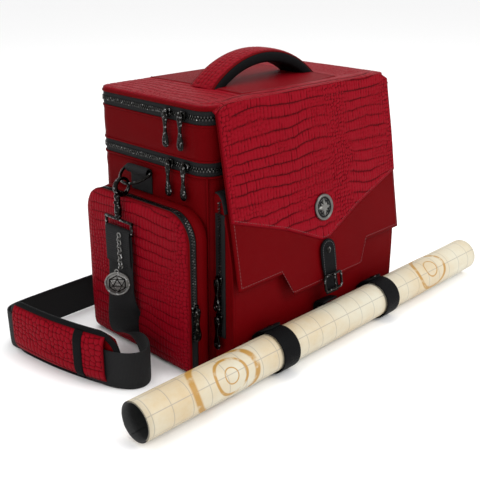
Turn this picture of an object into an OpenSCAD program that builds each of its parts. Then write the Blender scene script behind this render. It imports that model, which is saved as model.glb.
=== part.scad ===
// Structured zip-top carry bag for tabletop games, with a rolled battle mat
// strapped across its front. Millimetres, +X along the front, front faces -Y,
// +Z up, origin at the centre of the bottom face.

/* [Bag body] */
// Outside width of the boxed body
body_w = 320; // [250:1:400]
// Outside depth of the boxed body, without pockets
body_d = 190; // [170:1:240]
// Radius of the four upright corners
corner_r = 20; // [14:1:26]
// Thickness of the leather-covered wall board
wall_t = 2.4; // [1.6:0.2:3.6]
// Thickness of the padded inner lining
lining_t = 3; // [1.5:0.5:5]
// Thickness of the bottom board
base_t = 4; // [3:0.5:8]
// Top edge of the lower compartment's leather wall
lower_top = 227; // [205:1:260]
// Height of the upper compartment's leather wall
upper_wall_h = 39.5; // [28:0.5:60]
// Height of the lid's edge
lid_t = 5.5; // [4:0.5:9]

/* [Zips] */
// Height of one half of a zip tape
tape_h = 7.4; // [6:0.2:10]
// Gap between the two halves of a zip
chain_gap = 0.7; // [0.5:0.1:1.2]
// Length of a zip pull below its pin
pull_len = 38; // [24:1:44]
// Radius of the pin that a zip pull swings on
pull_pin_r = 1; // [0.8:0.1:1.4]
// Thickness of a zip slider
slider_t = 2.8; // [2:0.2:4]

/* [Side pockets] */
// Width of a side pocket, front to back
pocket_w = 184; // [150:1:186]
// Height of a side pocket
pocket_h = 188; // [150:1:188]
// How far a side pocket stands out
pocket_d = 30; // [24:1:44]
// Radius of a side pocket's top corners
pocket_r = 34; // [20:1:44]
// Height at which the side pocket's zip ends
pocket_zip_end = 42; // [30:1:60]

/* [Front pocket and flap] */
// Width of the front pocket
front_w = 300; // [230:1:310]
// How far the front pocket stands out
front_d = 29; // [22:1:34]
// Height of the front pocket's top edge
front_top = 211; // [190:1:216]
// Width of the flap
flap_w = 300; // [230:1:310]
// Length of the flap at its sides
flap_side_len = 202; // [190:1:210]
// Length of the flap at its middle tongue
flap_len = 232; // [220:1:236]
// Half width of the tongue's lower edge
tongue_half = 62; // [40:1:70]
// Angle that the flap stands off from upright
flap_lean = 9.7; // [9:0.1:12]
// Thickness of the flap
flap_t = 3; // [2:0.2:4]
// Thickness of the embossed overlay
overlay_t = 1.6; // [1:0.2:2.4]
// Radius of the round medallion
medallion_r = 16; // [10:0.5:20]

/* [Buckle] */
// Width of the closure strap
tab_w = 27; // [20:1:32]
// Thickness of the closure strap
tab_t = 2.4; // [1.6:0.2:3.2]
// Width of the buckle frame
frame_w = 34; // [30:1:44]
// Height of the buckle frame
frame_h = 22; // [16:1:24]
// Thickness of the buckle's bars
bar_t = 3.2; // [2.4:0.2:4]

/* [Handle] */
// Half the handle's span on the lid
handle_half = 92; // [70:1:105]
// Rise of the handle over the lid
handle_rise = 37; // [30:1:50]
// Thickness of the padded grip
handle_t = 13; // [10:0.5:16]
// Width of the grip, front to back
handle_w = 44; // [30:1:50]
// Distance of the grip's middle in front of the lid's middle
handle_y = 10; // [0:1:30]

/* [Strap] */
// Width of the webbing
web_w = 45; // [38:1:45]
// Thickness of the webbing
web_t = 2.2; // [1.6:0.2:2.4]
// Height of the shoulder pad, as it stands on its edge
pad_h = 66; // [60:1:74]
// Thickness of the shoulder pad
pad_t = 12; // [8:1:16]
// Inner radius of a D-ring
ring_r = 23; // [20:0.5:25]
// Radius of the ring's wire
wire_r = 1.8; // [1.4:0.1:2.2]

/* [Battle mat] */
// Length of the rolled mat
mat_len = 610; // [500:5:760]
// Outside radius of the rolled mat
mat_r = 22.7; // [18:0.1:23]
// Thickness of the roll's wall
mat_t = 2; // [1.5:0.1:4]
// Distance of the roll's middle to the left of the bag's middle
mat_shift = 5; // [0:1:20]
// Width of a mat strap
mat_strap_w = 27; // [20:1:34]
// Distance between the two mat straps
mat_strap_gap = 196; // [140:1:220]

/* [Hidden] */
fit_gap = 0.3;          // air between pieces that move past each other
pin_gap = 0.3;          // air round a pin in its hole
eps = 0.01;
smooth = 64;            // facets asked of round work
base_top = base_t;
mid_zip_z = lower_top + tape_h + chain_gap / 2;
upper_bottom = lower_top + 2 * tape_h + chain_gap;
upper_top = upper_bottom + upper_wall_h;
top_zip_z = upper_top + tape_h + chain_gap / 2;
lid_bottom = upper_top + 2 * tape_h + chain_gap;
lid_top = lid_bottom + lid_t;
side_x = body_w / 2;
front_y = -body_d / 2;
crease_z = lid_top + 0.5;
pocket_foot = 3;
pocket_y = -2;
pocket_skin = 2;
gusset_d = pocket_d * 0.46;
tape_d = pocket_d - gusset_d - 4;
pocket_zip_inset = 1.5;
face_inset = 4;
front_skin = 2.2;
front_tape_t = 1.6;
front_face_y = front_y - front_d;
strap_band_t = 1.8;
mat_gap = 0.6;
mat_y = front_face_y - mat_r - mat_gap - strap_band_t - fit_gap;
mat_z = mat_r + mat_gap + strap_band_t + 0.9;
mat_strap_shift = 8;
anchor_len = 38;
anchor_y = 14;
roll_r = 5;
ring_bar_x = side_x + roll_r + 0.5;
ring_bar_z = 217;
ring_lean = 60;
clip_hook_r = 7.5;
clip_wire = 2;
clip_x = side_x + 29.5;
clip_z = 202.5;
barrel_x = side_x + 37;
barrel_top = 193;
barrel_bottom = 168;
barrel_r = 3.6;
strap_ring_w = 50;
strap_ring_h = 13;
strap_ring_z = 152;
charm_r = 15;
charm_x = barrel_x + 6;
charm_y = 7;
chain_link_r = 2.8;
chain_wire = 0.7;
chain_links = 10;
chain_step = 2 * (chain_link_r - chain_wire) + 0.15;
slider_w = 12;
slider_h = 10;
lug_t = 1.5;
eye_r = 2;
eye_half = 3.5;
pin_out = slider_t + 2.2;
rear_slider_y = -36;
front_slider_y = -60;

$fn = smooth;

// ---------- shared outlines ----------

// Rectangle with round corners, centred
module round_rect(w, d, r) {
    square([w - 2 * r, d], center = true);
    square([w, d - 2 * r], center = true);
    for (sx = [-1, 1], sy = [-1, 1])
        translate([sx * (w / 2 - r), sy * (d / 2 - r)]) circle(r);
}

// Ring of wall that follows the bag's plan, inset from its outside
module plan_ring(inset, t) {
    difference() {
        round_rect(body_w - 2 * inset, body_d - 2 * inset, corner_r - inset);
        round_rect(body_w - 2 * inset - 2 * t, body_d - 2 * inset - 2 * t,
            corner_r - inset - t);
    }
}

// Panel that stands on y = 0, with its own radii at top and bottom
module stood_panel(w, h, rt, rb) {
    translate([-w / 2, rb]) square([w, h - rt - rb]);
    translate([-w / 2 + rb, 0]) square([w - 2 * rb, h - rt]);
    translate([-w / 2 + rt, rb]) square([w - 2 * rt, h - rb]);
    for (s = [-1, 1]) {
        translate([s * (w / 2 - rt), h - rt]) circle(rt);
        translate([s * (w / 2 - rb), rb]) circle(rb);
    }
}

// Outline of a side pocket, drawn in by an inset
module pocket_outline(inset) {
    translate([-pocket_y, pocket_foot + inset])
        stood_panel(pocket_w - 2 * inset, pocket_h - 2 * inset,
            pocket_r - inset, 10 - inset);
}

// ---------- placing ----------

// Sets work drawn in x, y on the bag's left wall, rising away from it
module left_side(out = 0) {
    translate([-side_x - out, 0, 0]) rotate([90, 0, -90]) children();
}

// Mirrors work from the left side to the right
module right_side() {
    mirror([1, 0, 0]) children();
}

// Sets work on the hanging flap: -y is outwards and -z runs down it
module on_flap() {
    translate([0, front_y, crease_z]) rotate([-flap_lean, 0, 0]) children();
}

// Cylinder that lies along X, centred
module bar_x(r, length) {
    rotate([0, 90, 0]) cylinder(r = r, h = length, center = true);
}

// Cylinder that lies along Y, centred
module bar_y(r, length) {
    rotate([90, 0, 0]) cylinder(r = r, h = length, center = true);
}

// ---------- lower compartment ----------

module lower_shell() {
    color("firebrick") {
        translate([0, 0, base_top]) linear_extrude(lower_top - base_top)
            plan_ring(0, wall_t);
        translate([0, 0, base_top]) linear_extrude(wall_t)
            round_rect(body_w - wall_t, body_d - wall_t, corner_r - wall_t / 2);
    }
}

module base_board() {
    color("dimgray") linear_extrude(base_t)
        round_rect(body_w - 4, body_d - 4, corner_r - 2);
}

module lower_lining() {
    color("black") {
        translate([0, 0, base_top + wall_t])
            linear_extrude(lower_top - base_top - wall_t - 2)
                plan_ring(wall_t, lining_t);
        translate([0, 0, base_top + wall_t]) linear_extrude(lining_t)
            round_rect(body_w - 2 * wall_t - lining_t,
                body_d - 2 * wall_t - lining_t, corner_r - wall_t - lining_t / 2);
    }
}

// Half of a zip: a band of tape with its row of teeth along the chain
module zip_half(z, chain_up) {
    tooth_z = chain_up ? z + tape_h - 1.6 : z;
    color("black") {
        translate([0, 0, z]) linear_extrude(tape_h) plan_ring(0.4, wall_t - 0.4);
        translate([0, 0, tooth_z]) linear_extrude(1.6) plan_ring(0.1, wall_t - 0.1);
    }
}

module middle_zip_lower() { zip_half(lower_top, true); }
module middle_zip_upper() { zip_half(lower_top + tape_h + chain_gap, false); }
module top_zip_lower() { zip_half(upper_top, true); }
module top_zip_upper() { zip_half(upper_top + tape_h + chain_gap, false); }

// ---------- side pockets ----------

module pocket_gusset() {
    lower_part = pocket_zip_end - pocket_foot;
    color("firebrick") {
        left_side() linear_extrude(gusset_d) difference() {
            pocket_outline(0);
            pocket_outline(pocket_skin);
        }
        left_side(gusset_d) linear_extrude(tape_d) intersection() {
            difference() {
                pocket_outline(pocket_zip_inset);
                pocket_outline(pocket_zip_inset + pocket_skin);
            }
            translate([-body_d, pocket_foot]) square([2 * body_d, lower_part]);
        }
    }
}

module pocket_zip() {
    color("black") left_side(gusset_d) linear_extrude(tape_d) difference() {
        pocket_outline(pocket_zip_inset);
        pocket_outline(pocket_zip_inset + pocket_skin);
        translate([-body_d, 0]) square([2 * body_d, pocket_zip_end]);
    }
}

module pocket_face() {
    color("crimson") left_side(gusset_d + tape_d)
        linear_extrude(pocket_d - gusset_d - tape_d)
            pocket_outline(pocket_zip_inset);
}

module left_pocket() { pocket_gusset(); }
module left_pocket_zip() { pocket_zip(); }
module left_pocket_face() { pocket_face(); }
module right_pocket() { right_side() pocket_gusset(); }
module right_pocket_zip() { right_side() pocket_zip(); }
module right_pocket_face() { right_side() pocket_face(); }

// ---------- front pocket ----------

// Side view of the front pocket, as [distance in front, height], grown by g
function front_side(g) = [
    [0, 3 - g], [front_d - 3 + g, 3 - g], [front_d + g, 8 - g],
    [front_d + g, front_top - 100], [front_d - 7 + g, front_top - 51 + g],
    [front_d - 15 + g, front_top - 12 + g], [front_d - 22, front_top + g],
    [0, front_top + g]];

// Solid with that side view, along X
module front_solid(g, length, back) {
    translate([-length / 2, front_y, 0]) rotate([90, 0, 90])
        linear_extrude(length)
            polygon([for (p = front_side(g)) [-max(p[0], back), p[1]]]);
}

module front_pocket() {
    color("firebrick") difference() {
        front_solid(0, front_w, 0);
        translate([0, 1, 0]) front_solid(-front_skin, front_w - 2 * front_skin, 0);
    }
}

module front_pocket_zip() {
    zip_foot = 42;
    color("black") difference() {
        front_solid(front_tape_t, front_w + 2 * front_tape_t, 0);
        front_solid(0, front_w, 0);
        translate([-body_w, front_y - front_d - 20, 0])
            cube([2 * body_w, front_d + 3, 300]);
        translate([-body_w, front_y - 2, 0]) cube([2 * body_w, 4, 300]);
        translate([-body_w, front_y - front_d - 20, -5])
            cube([2 * body_w, front_d + 30, zip_foot + 5]);
    }
}

// ---------- upper compartment and lid ----------

module upper_shell() {
    color("firebrick") {
        translate([0, 0, upper_bottom]) linear_extrude(upper_wall_h)
            plan_ring(0, wall_t);
        translate([0, 0, upper_bottom]) linear_extrude(wall_t)
            round_rect(body_w - wall_t, body_d - wall_t, corner_r - wall_t / 2);
    }
}

module upper_lining() {
    color("black") {
        translate([0, 0, upper_bottom + wall_t])
            linear_extrude(upper_wall_h - wall_t - 2) plan_ring(wall_t, lining_t);
        translate([0, 0, upper_bottom + wall_t]) linear_extrude(lining_t)
            round_rect(body_w - 2 * wall_t - lining_t,
                body_d - 2 * wall_t - lining_t, corner_r - wall_t - lining_t / 2);
    }
}

saddle_half = 84;
saddle_front = front_y + 16;

// Outline of the smooth panel let into the lid under the handle
module saddle_outline(gap) {
    translate([-saddle_half - gap, saddle_front - gap])
        square([2 * (saddle_half + gap), body_d / 2 - saddle_front - 4 + 2 * gap]);
}

module lid_panel() {
    color("crimson") {
        translate([0, 0, lid_bottom]) linear_extrude(lid_t - 2)
            round_rect(body_w, body_d, corner_r);
        translate([0, 0, lid_top - 2]) linear_extrude(2) difference() {
            round_rect(body_w - 4, body_d - 4, corner_r - 2);
            saddle_outline(0);
        }
    }
}

module lid_saddle() {
    color("firebrick") translate([0, 0, lid_top - 2]) linear_extrude(1.8)
        saddle_outline(0);
}

cover_t = 2.2;
// Radius of an arc through the two feet and the top, from half span and rise
function arc_r(half, rise) = (half * half + rise * rise) / (2 * rise);
handle_out_r = arc_r(handle_half, handle_rise);
handle_in_r = arc_r(handle_half - 20, handle_rise - handle_t);

// Band of arch between two radii, cut off at the lid
module handle_arch(r_out, top_out, r_in, top_in, width) {
    foot = lid_top + fit_gap;
    translate([0, width / 2 - handle_y, 0]) rotate([90, 0, 0])
        linear_extrude(width) intersection() {
            difference() {
                translate([0, top_out - r_out]) circle(r_out, $fn = 128);
                translate([0, top_in - r_in]) circle(r_in, $fn = 128);
            }
            translate([-body_w, lid_top]) square([2 * body_w, 200]);
        }
}

module handle_core() {
    top = lid_top + handle_rise;
    color("black") handle_arch(handle_out_r - cover_t, top - cover_t,
        handle_in_r, top - handle_t, handle_w);
}

module handle_cover() {
    top = lid_top + handle_rise;
    color("crimson") handle_arch(handle_out_r, top,
        handle_out_r - cover_t, top - cover_t, handle_w - 2);
}

// ---------- flap ----------

// Front view of the flap, hanging down from z = 0
module flap_outline() {
    shoulder = tongue_half + 16;
    polygon([[-flap_w / 2, 0], [flap_w / 2, 0], [flap_w / 2, -flap_side_len],
        [shoulder, -flap_side_len], [tongue_half, -flap_len],
        [-tongue_half, -flap_len], [-shoulder, -flap_side_len],
        [-flap_w / 2, -flap_side_len]]);
}

overlay_side = 125;
overlay_tip = 182;

// Front view of the embossed overlay, an envelope point
module overlay_outline() {
    polygon([[-flap_w / 2, 0], [flap_w / 2, 0], [flap_w / 2, -overlay_side],
        [flap_w * 0.22, -(overlay_side + (overlay_tip - overlay_side) * 0.5)],
        [0, -overlay_tip],
        [-flap_w * 0.22, -(overlay_side + (overlay_tip - overlay_side) * 0.5)],
        [-flap_w / 2, -overlay_side]]);
}

// Thickness given to a front view, from a depth outwards
module flap_slab(depth, t) {
    on_flap() translate([0, -depth, 0]) rotate([90, 0, 0])
        linear_extrude(t) children();
}

flap_back = 0.6;
overlay_back = flap_back + flap_t;
tab_back = overlay_back + overlay_t + 0.1;
frame_back = tab_back + tab_t + fit_gap + 0.6;
frame_top_v = 222;

module flap_panel() { color("firebrick") flap_slab(flap_back, flap_t) flap_outline(); }
module flap_overlay() {
    color("crimson") flap_slab(overlay_back, overlay_t) overlay_outline();
}

module medallion() {
    color("dimgray") on_flap() translate([0, -overlay_back - overlay_t, -141])
        rotate([90, 0, 0]) {
            cylinder(r = medallion_r, h = 1.6);
            cylinder(r = medallion_r - 3, h = 2.6);
        }
}

tab_top = 180;
module closure_tab() {
    half = tab_w / 2;
    color("black") difference() {
        flap_slab(tab_back, tab_t) union() {
            translate([0, -tab_top - half]) circle(half);
            translate([-half, -frame_top_v - frame_h + 6])
                square([tab_w, frame_top_v + frame_h - 6 - tab_top - half]);
        }
        on_flap() translate([0, 0, -tab_top - half])
            rotate([90, 0, 0]) cylinder(r = 2 + eps, h = 30);
    }
    color("black") flap_slab(overlay_back, overlay_t + 0.1)
        translate([-half, -overlay_tip - 30]) square([tab_w, 22]);
}

module tab_rivet() {
    color("dimgray") on_flap()
        translate([0, -tab_back, -tab_top - tab_w / 2]) rotate([90, 0, 0]) {
            cylinder(r = 2, h = tab_t);
            translate([0, 0, tab_t]) cylinder(r = 4, h = 1.4);
        }
}

module buckle_frame() {
    hole_w = frame_w - 2 * bar_t;
    hole_h = frame_h - 2 * bar_t;
    color("dimgray") flap_slab(frame_back, bar_t)
        translate([0, -frame_top_v - frame_h / 2]) difference() {
            square([frame_w, frame_h], center = true);
            square([hole_w, hole_h], center = true);
        }
}

module buckle_prong() {
    back = frame_back + bar_t + fit_gap;
    color("dimgray") flap_slab(back, 1.8)
        translate([-1.5, -frame_top_v - frame_h + 0.5]) square([3, frame_h - 1.6]);
}

anchor_top = 57;
module closure_anchor() {
    w = tab_w - 1;
    reach = 18;
    color("black") {
        translate([-w / 2, front_face_y - tab_t, 30])
            cube([w, tab_t, anchor_top - 30 - 6]);
        translate([-w / 2, front_face_y - reach, anchor_top - 6 - 3])
            cube([w, reach, 3]);
    }
}

module anchor_rivet() {
    color("dimgray") translate([0, front_face_y - tab_t, 38])
        rotate([90, 0, 0]) cylinder(r = 3.2, h = 1.4);
}

// ---------- battle mat and its straps ----------

module battle_mat() {
    color("wheat") translate([-mat_shift, mat_y, mat_z]) difference() {
        bar_x(mat_r, mat_len);
        bar_x(mat_r - mat_t, mat_len + 2);
    }
}

band_in = mat_r + mat_gap;
band_out = band_in + strap_band_t;

module mat_strap_at(x) {
    translate([x, mat_y, mat_z]) difference() {
        bar_x(band_out, mat_strap_w);
        bar_x(band_in, mat_strap_w + 2);
    }
    translate([x - mat_strap_w / 2, front_face_y - fit_gap - 1, mat_z - 13])
        cube([mat_strap_w, fit_gap + 1, 21]);
}

strap_left_x = -mat_strap_gap / 2 - mat_strap_shift;
strap_right_x = mat_strap_gap / 2 - mat_strap_shift;

module mat_straps() {
    color("black") {
        mat_strap_at(strap_left_x);
        mat_strap_at(strap_right_x);
    }
}

// Leather tab that lies over the top of a mat strap, with its snap
module mat_tab_at(x) {
    w = mat_strap_w + 5;
    tab_in = band_out + fit_gap;
    color("black") translate([x - w / 2, mat_y, mat_z]) rotate([0, 90, 0])
        rotate([0, 0, 116]) rotate_extrude(angle = 56)
            translate([tab_in, 0]) square([2.2, w]);
    color("dimgray") translate([x, mat_y, mat_z]) rotate([-32, 0, 0])
        translate([0, 0, tab_in + 2.2 - eps]) cylinder(r = 4.5, h = 1.4);
}

module mat_tab_left() { mat_tab_at(strap_left_x); }
module mat_tab_right() { mat_tab_at(strap_right_x); }

// ---------- rings, clips and charm ----------

// Webbing loop sewn to the wall, rolled round the ring's bar
module anchor_loop() {
    color("black") translate([-ring_bar_x, anchor_y, ring_bar_z]) difference() {
        union() {
            bar_y(roll_r, anchor_len);
            translate([2.6, -anchor_len / 2, -26]) cube([roll_r - 2.1, anchor_len, 26]);
        }
        bar_y(wire_r + pin_gap, anchor_len + 2);
    }
}

module ring_anchors() {
    anchor_loop();
    right_side() anchor_loop();
}

// D-ring: a straight bar through the webbing and a round bow
module d_ring() {
    bow_r = anchor_len / 2 + 2 + wire_r;
    color("dimgray") translate([-ring_bar_x, anchor_y, ring_bar_z])
        rotate([0, ring_lean, 0]) rotate([0, 0, 90]) rotate([90, 0, 0]) {
            translate([0, 0, 0]) rotate([0, 0, 180]) rotate_extrude(angle = 180)
                translate([bow_r, 0]) circle(wire_r, $fn = 24);
            rotate([0, 90, 0]) cylinder(r = wire_r, h = 2 * bow_r, center = true);
        }
}

module left_ring() { d_ring(); }
module right_ring() { right_side() d_ring(); }

// Swivel clip: an eye round the bow and a barrel that turns under it
module clip() {
    color("dimgray") {
        translate([-clip_x, anchor_y, clip_z]) rotate([90, 0, 0])
            rotate_extrude() translate([clip_hook_r + clip_wire, 0])
                circle(clip_wire, $fn = 24);
        translate([-barrel_x, anchor_y, barrel_bottom])
            cylinder(r = barrel_r, h = barrel_top - barrel_bottom);
        translate([-barrel_x, anchor_y, barrel_top]) sphere(barrel_r);
    }
}

module left_clip() { clip(); }
module right_clip() { right_side() clip(); }

// Flat ring that carries the end of the webbing, with a neck up to the swivel
module strap_ring() {
    color("dimgray") translate([-barrel_x, anchor_y, strap_ring_z]) {
        for (z = [0, strap_ring_h]) translate([0, 0, z]) bar_y(wire_r, strap_ring_w);
        for (s = [-1, 1]) translate([0, s * (strap_ring_w / 2 - wire_r), 0])
            cylinder(r = wire_r, h = strap_ring_h);
        translate([0, 0, strap_ring_h]) cylinder(r = barrel_r - 0.6,
            h = barrel_bottom - fit_gap - strap_ring_z - strap_ring_h);
    }
}

module strap_rings() {
    strap_ring();
    right_side() strap_ring();
}

chain_top = strap_ring_z - 3;
module charm_chain() {
    color("silver") for (i = [0:chain_links - 1])
        translate([-charm_x, charm_y, chain_top - i * chain_step])
            rotate([90, 0, (i + 1) % 2 * 90]) rotate_extrude($fn = 24)
                translate([chain_link_r, 0]) circle(chain_wire, $fn = 13);
}

charm_z = chain_top - (chain_links - 1) * chain_step - chain_link_r - charm_r - 1.2;
module charm_disc() {
    color("silver") translate([-charm_x, charm_y, charm_z]) rotate([0, 90, 0])
        difference() {
            union() {
                cylinder(r = charm_r, h = 2.6, center = true);
                cylinder(r = charm_r - 3, h = 3.4, center = true);
                translate([-charm_r - 0.6, 0, 0])
                    cylinder(r = 2.6, h = 2, center = true);
            }
            translate([-charm_r - 1, 0, 0]) cylinder(r = 1.2, h = 5, center = true);
        }
}

// ---------- shoulder strap ----------

web_z = web_w / 2 + 1;
// Middle line of the webbing, from the left ring round to the right ring,
// each point followed by the direction of the webbing's width
drawn_route = [
    [[-197, 14, 150.1], [0, 1, 0]], [[-197, 14, 120], [0, 1, 0]],
    [[-198, 14, 92], [0, 1, 0]], [[-200, 12, 68], [0, 1, 0.1]],
    [[-202, 6, 46], [0, 1, 0.5]], [[-204, -6, 32], [0, 1, 1.1]],
    [[-207, -22, 25], [0, 0.5, 1]], [[-211, -40, web_z], [0, 0, 1]],
    [[-217, -56, web_z], [0, 0, 1]], [[-226, -68, web_z], [0, 0, 1]],
    [[-238, -73, web_z], [0, 0, 1]], [[-250, -69, web_z], [0, 0, 1]],
    [[-259, -58, web_z], [0, 0, 1]], [[-266, -42, web_z], [0, 0, 1]],
    [[-273, -20, web_z + 3], [0, 0, 1]], [[-280, 8, web_z + 6], [0, 0, 1]],
    [[-286, 38, web_z + 8], [0, 0, 1]], [[-290, 70, web_z + 6], [0, 0, 1]],
    [[-292, 96, web_z + 3], [0, 0, 1]], [[-291, 116, web_z], [0, 0, 1]],
    [[-284, 129, web_z], [0, 0, 1]], [[-268, 134, web_z], [0, 0, 1]],
    [[-230, 136, web_z], [0, 0, 1]], [[-150, 138, web_z], [0, 0, 1]],
    [[0, 138, web_z], [0, 0, 1]], [[130, 137, web_z], [0, 0, 1]],
    [[178, 132, web_z], [0, 0, 1]], [[204, 117, web_z], [0, 0, 1]],
    [[214, 95, web_z], [0, 0, 1]], [[213, 72, web_z], [0, 0, 1]],
    [[210, 50, 25], [0, -0.5, 1]], [[206, 32, 33], [0, -1, 1.1]],
    [[203, 20, 48], [0, -1, 0.5]], [[200, 15, 70], [0, -1, 0.1]],
    [[198, 14, 94], [0, -1, 0]], [[197, 14, 120], [0, -1, 0]],
    [[197, 14, 150.1], [0, -1, 0]]];
// Route with its sides moved out as the body widens from the drawn width
drawn_body_w = 320;
strap_route = [for (point = drawn_route) let (x = point[0][0])
    [[x + max(-1, min(1, x / 100)) * (body_w - drawn_body_w) / 2,
        point[0][1], point[0][2]], point[1]]];
pad_first = 13;
pad_last = 18;

function unit(v) = v / norm(v);
// Direction along a route at point i
function along(route, i) = unit(route[min(i + 1, len(route) - 1)][0]
    - route[max(i - 1, 0)][0]);
// Width direction at point i, squared to the route
function across(route, i) = let (t = along(route, i), w = route[i][1])
    unit(w - t * (w * t));
// Direction through the strap at point i
function through(route, i) = cross(along(route, i), across(route, i));

// Flat band swept along a route, between two depths through it
module band(route, half, near, far, lift = 0) {
    n = len(route);
    points = [for (i = [0:n - 1], c = [[-1, near], [1, near], [1, far], [-1, far]])
        route[i][0] + [0, 0, lift] + across(route, i) * half * c[0]
            + through(route, i) * c[1]];
    sides = [for (i = [0:n - 2], k = [0:3])
        [4 * i + k, 4 * i + (k + 1) % 4, 4 * (i + 1) + (k + 1) % 4, 4 * (i + 1) + k]];
    polyhedron(points, concat(sides, [[3, 2, 1, 0]],
        [[for (k = [0:3]) 4 * (n - 1) + k]]), convexity = 6);
}

// Part of the strap's route, at a set height
function level_route(first, last, z) = [for (i = [first:last])
    [[strap_route[i][0][0], strap_route[i][0][1], z], [0, 0, 1]]];

module shoulder_strap() {
    color("black") band(strap_route, web_w / 2, -web_t / 2, web_t / 2);
}

pad_near = web_t / 2 + 0.6;
module shoulder_pad() {
    color("black") band(level_route(pad_first - 1, pad_last + 1, pad_h / 2),
        pad_h / 2, pad_near, pad_near + pad_t);
}

module pad_cover() {
    color("crimson") band(level_route(pad_first, pad_last, pad_h / 2),
        pad_h / 2 - 8, -web_t / 2 - 0.2 - 3, -web_t / 2 - 0.2);
}

// Narrow leather band across the pad
module pad_band() {
    a = strap_route[pad_first + 1][0];
    b = strap_route[pad_first + 2][0];
    mid = (a + b) / 2;
    step = unit(b - a) * 6;
    outer = -web_t / 2 - 0.2 - 3;
    color("black") band([[[mid[0] - step[0], mid[1] - step[1], pad_h / 2], [0, 0, 1]],
        [[mid[0] + step[0], mid[1] + step[1], pad_h / 2], [0, 0, 1]]],
        pad_h / 2 - 6, outer - 2.2, outer - 0.4);
}

// ---------- sliders and pulls ----------

// Zip slider on the plane z = 0 of its own frame, its pin along x
module slider() {
    color("dimgray") {
        translate([-slider_w / 2, -slider_h / 2, fit_gap])
            cube([slider_w, slider_h, slider_t]);
        for (s = [-1, 1]) translate([s * (eye_half + fit_gap + lug_t / 2) - lug_t / 2,
            -2, fit_gap + slider_t - eps])
            cube([lug_t, 4, pin_out - slider_t + 1.2]);
        translate([0, 0, fit_gap + pin_out])
            rotate([0, 90, 0])
                cylinder(r = pull_pin_r, h = 2 * (eye_half + fit_gap + lug_t), center = true,
                    $fn = 24);
    }
}

// Zip pull hanging from that pin towards -y
module pull() {
    t = 2.2;
    neck = pull_len * 0.45;
    color("silver") translate([0, 0, fit_gap + pin_out]) difference() {
        union() {
            rotate([0, 90, 0]) cylinder(r = eye_r, h = 2 * eye_half, center = true, $fn = 32);
            translate([0, 0, -t / 2]) linear_extrude(t) {
                polygon([[-3.2, 0], [3.2, 0], [3.6, -6], [2.2, -neck],
                    [3.8, -pull_len + 6], [-3.8, -pull_len + 6],
                    [-2.2, -neck], [-3.6, -6]]);
                translate([0, -pull_len + 5]) circle(4.2, $fn = 32);
            }
        }
        rotate([0, 90, 0]) cylinder(r = pull_pin_r + pin_gap, h = 2 * eye_half + 2, center = true,
            $fn = 24);
    }
}

// Place on the left wall, at a distance y and a height z
module on_left_wall(y, z) {
    translate([-side_x, y, z]) rotate([90, 0, -90]) children();
}

module top_slider_rear() { on_left_wall(rear_slider_y, top_zip_z) slider(); }
module top_pull_rear() { on_left_wall(rear_slider_y, top_zip_z) pull(); }
module top_slider_front() { on_left_wall(front_slider_y, top_zip_z) slider(); }
module top_pull_front() { on_left_wall(front_slider_y, top_zip_z) pull(); }
module middle_slider_rear() { on_left_wall(rear_slider_y - 2, mid_zip_z) slider(); }
module middle_pull_rear() { on_left_wall(rear_slider_y - 2, mid_zip_z) pull(); }
module middle_slider_front() { on_left_wall(front_slider_y - 3, mid_zip_z) slider(); }
module middle_pull_front() { on_left_wall(front_slider_y - 3, mid_zip_z) pull(); }

// Place on the front edge of the left pocket's zip
module on_pocket_zip() {
    translate([-side_x - gusset_d - tape_d / 2,
        pocket_y - pocket_w / 2 + pocket_zip_inset, 82])
        rotate([90, 0, 0]) children();
}

module left_slider() { on_pocket_zip() slider(); }
module left_pull() { on_pocket_zip() pull(); }
module right_slider() { right_side() left_slider(); }
module right_pull() { right_side() left_pull(); }

// Place on the left end of the front pocket's zip
module on_front_zip() {
    translate([-front_w / 2 - front_tape_t, front_y - 9.5, 112])
        rotate([90, 0, -90]) children();
}

module front_slider() { on_front_zip() slider(); }
module front_pull() { on_front_zip() pull(); }

lower_shell();
base_board();
lower_lining();
middle_zip_lower();
front_pocket();
front_pocket_zip();
left_pocket();
left_pocket_face();
left_pocket_zip();
right_pocket();
right_pocket_face();
right_pocket_zip();
ring_anchors();
closure_anchor();
anchor_rivet();
mat_straps();
shoulder_strap();
shoulder_pad();
pad_cover();
pad_band();
strap_rings();
battle_mat();
mat_tab_left();
mat_tab_right();
left_ring();
right_ring();
left_clip();
right_clip();
charm_chain();
charm_disc();
upper_shell();
upper_lining();
middle_zip_upper();
top_zip_lower();
lid_panel();
lid_saddle();
top_zip_upper();
handle_core();
handle_cover();
flap_panel();
flap_overlay();
medallion();
closure_tab();
tab_rivet();
buckle_frame();
buckle_prong();
top_slider_rear();
top_pull_rear();
top_slider_front();
top_pull_front();
middle_slider_rear();
middle_pull_rear();
middle_slider_front();
middle_pull_front();
left_slider();
left_pull();
right_slider();
right_pull();
front_slider();
front_pull();
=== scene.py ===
from math import atan2, cos, pi, radians, sin

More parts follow.
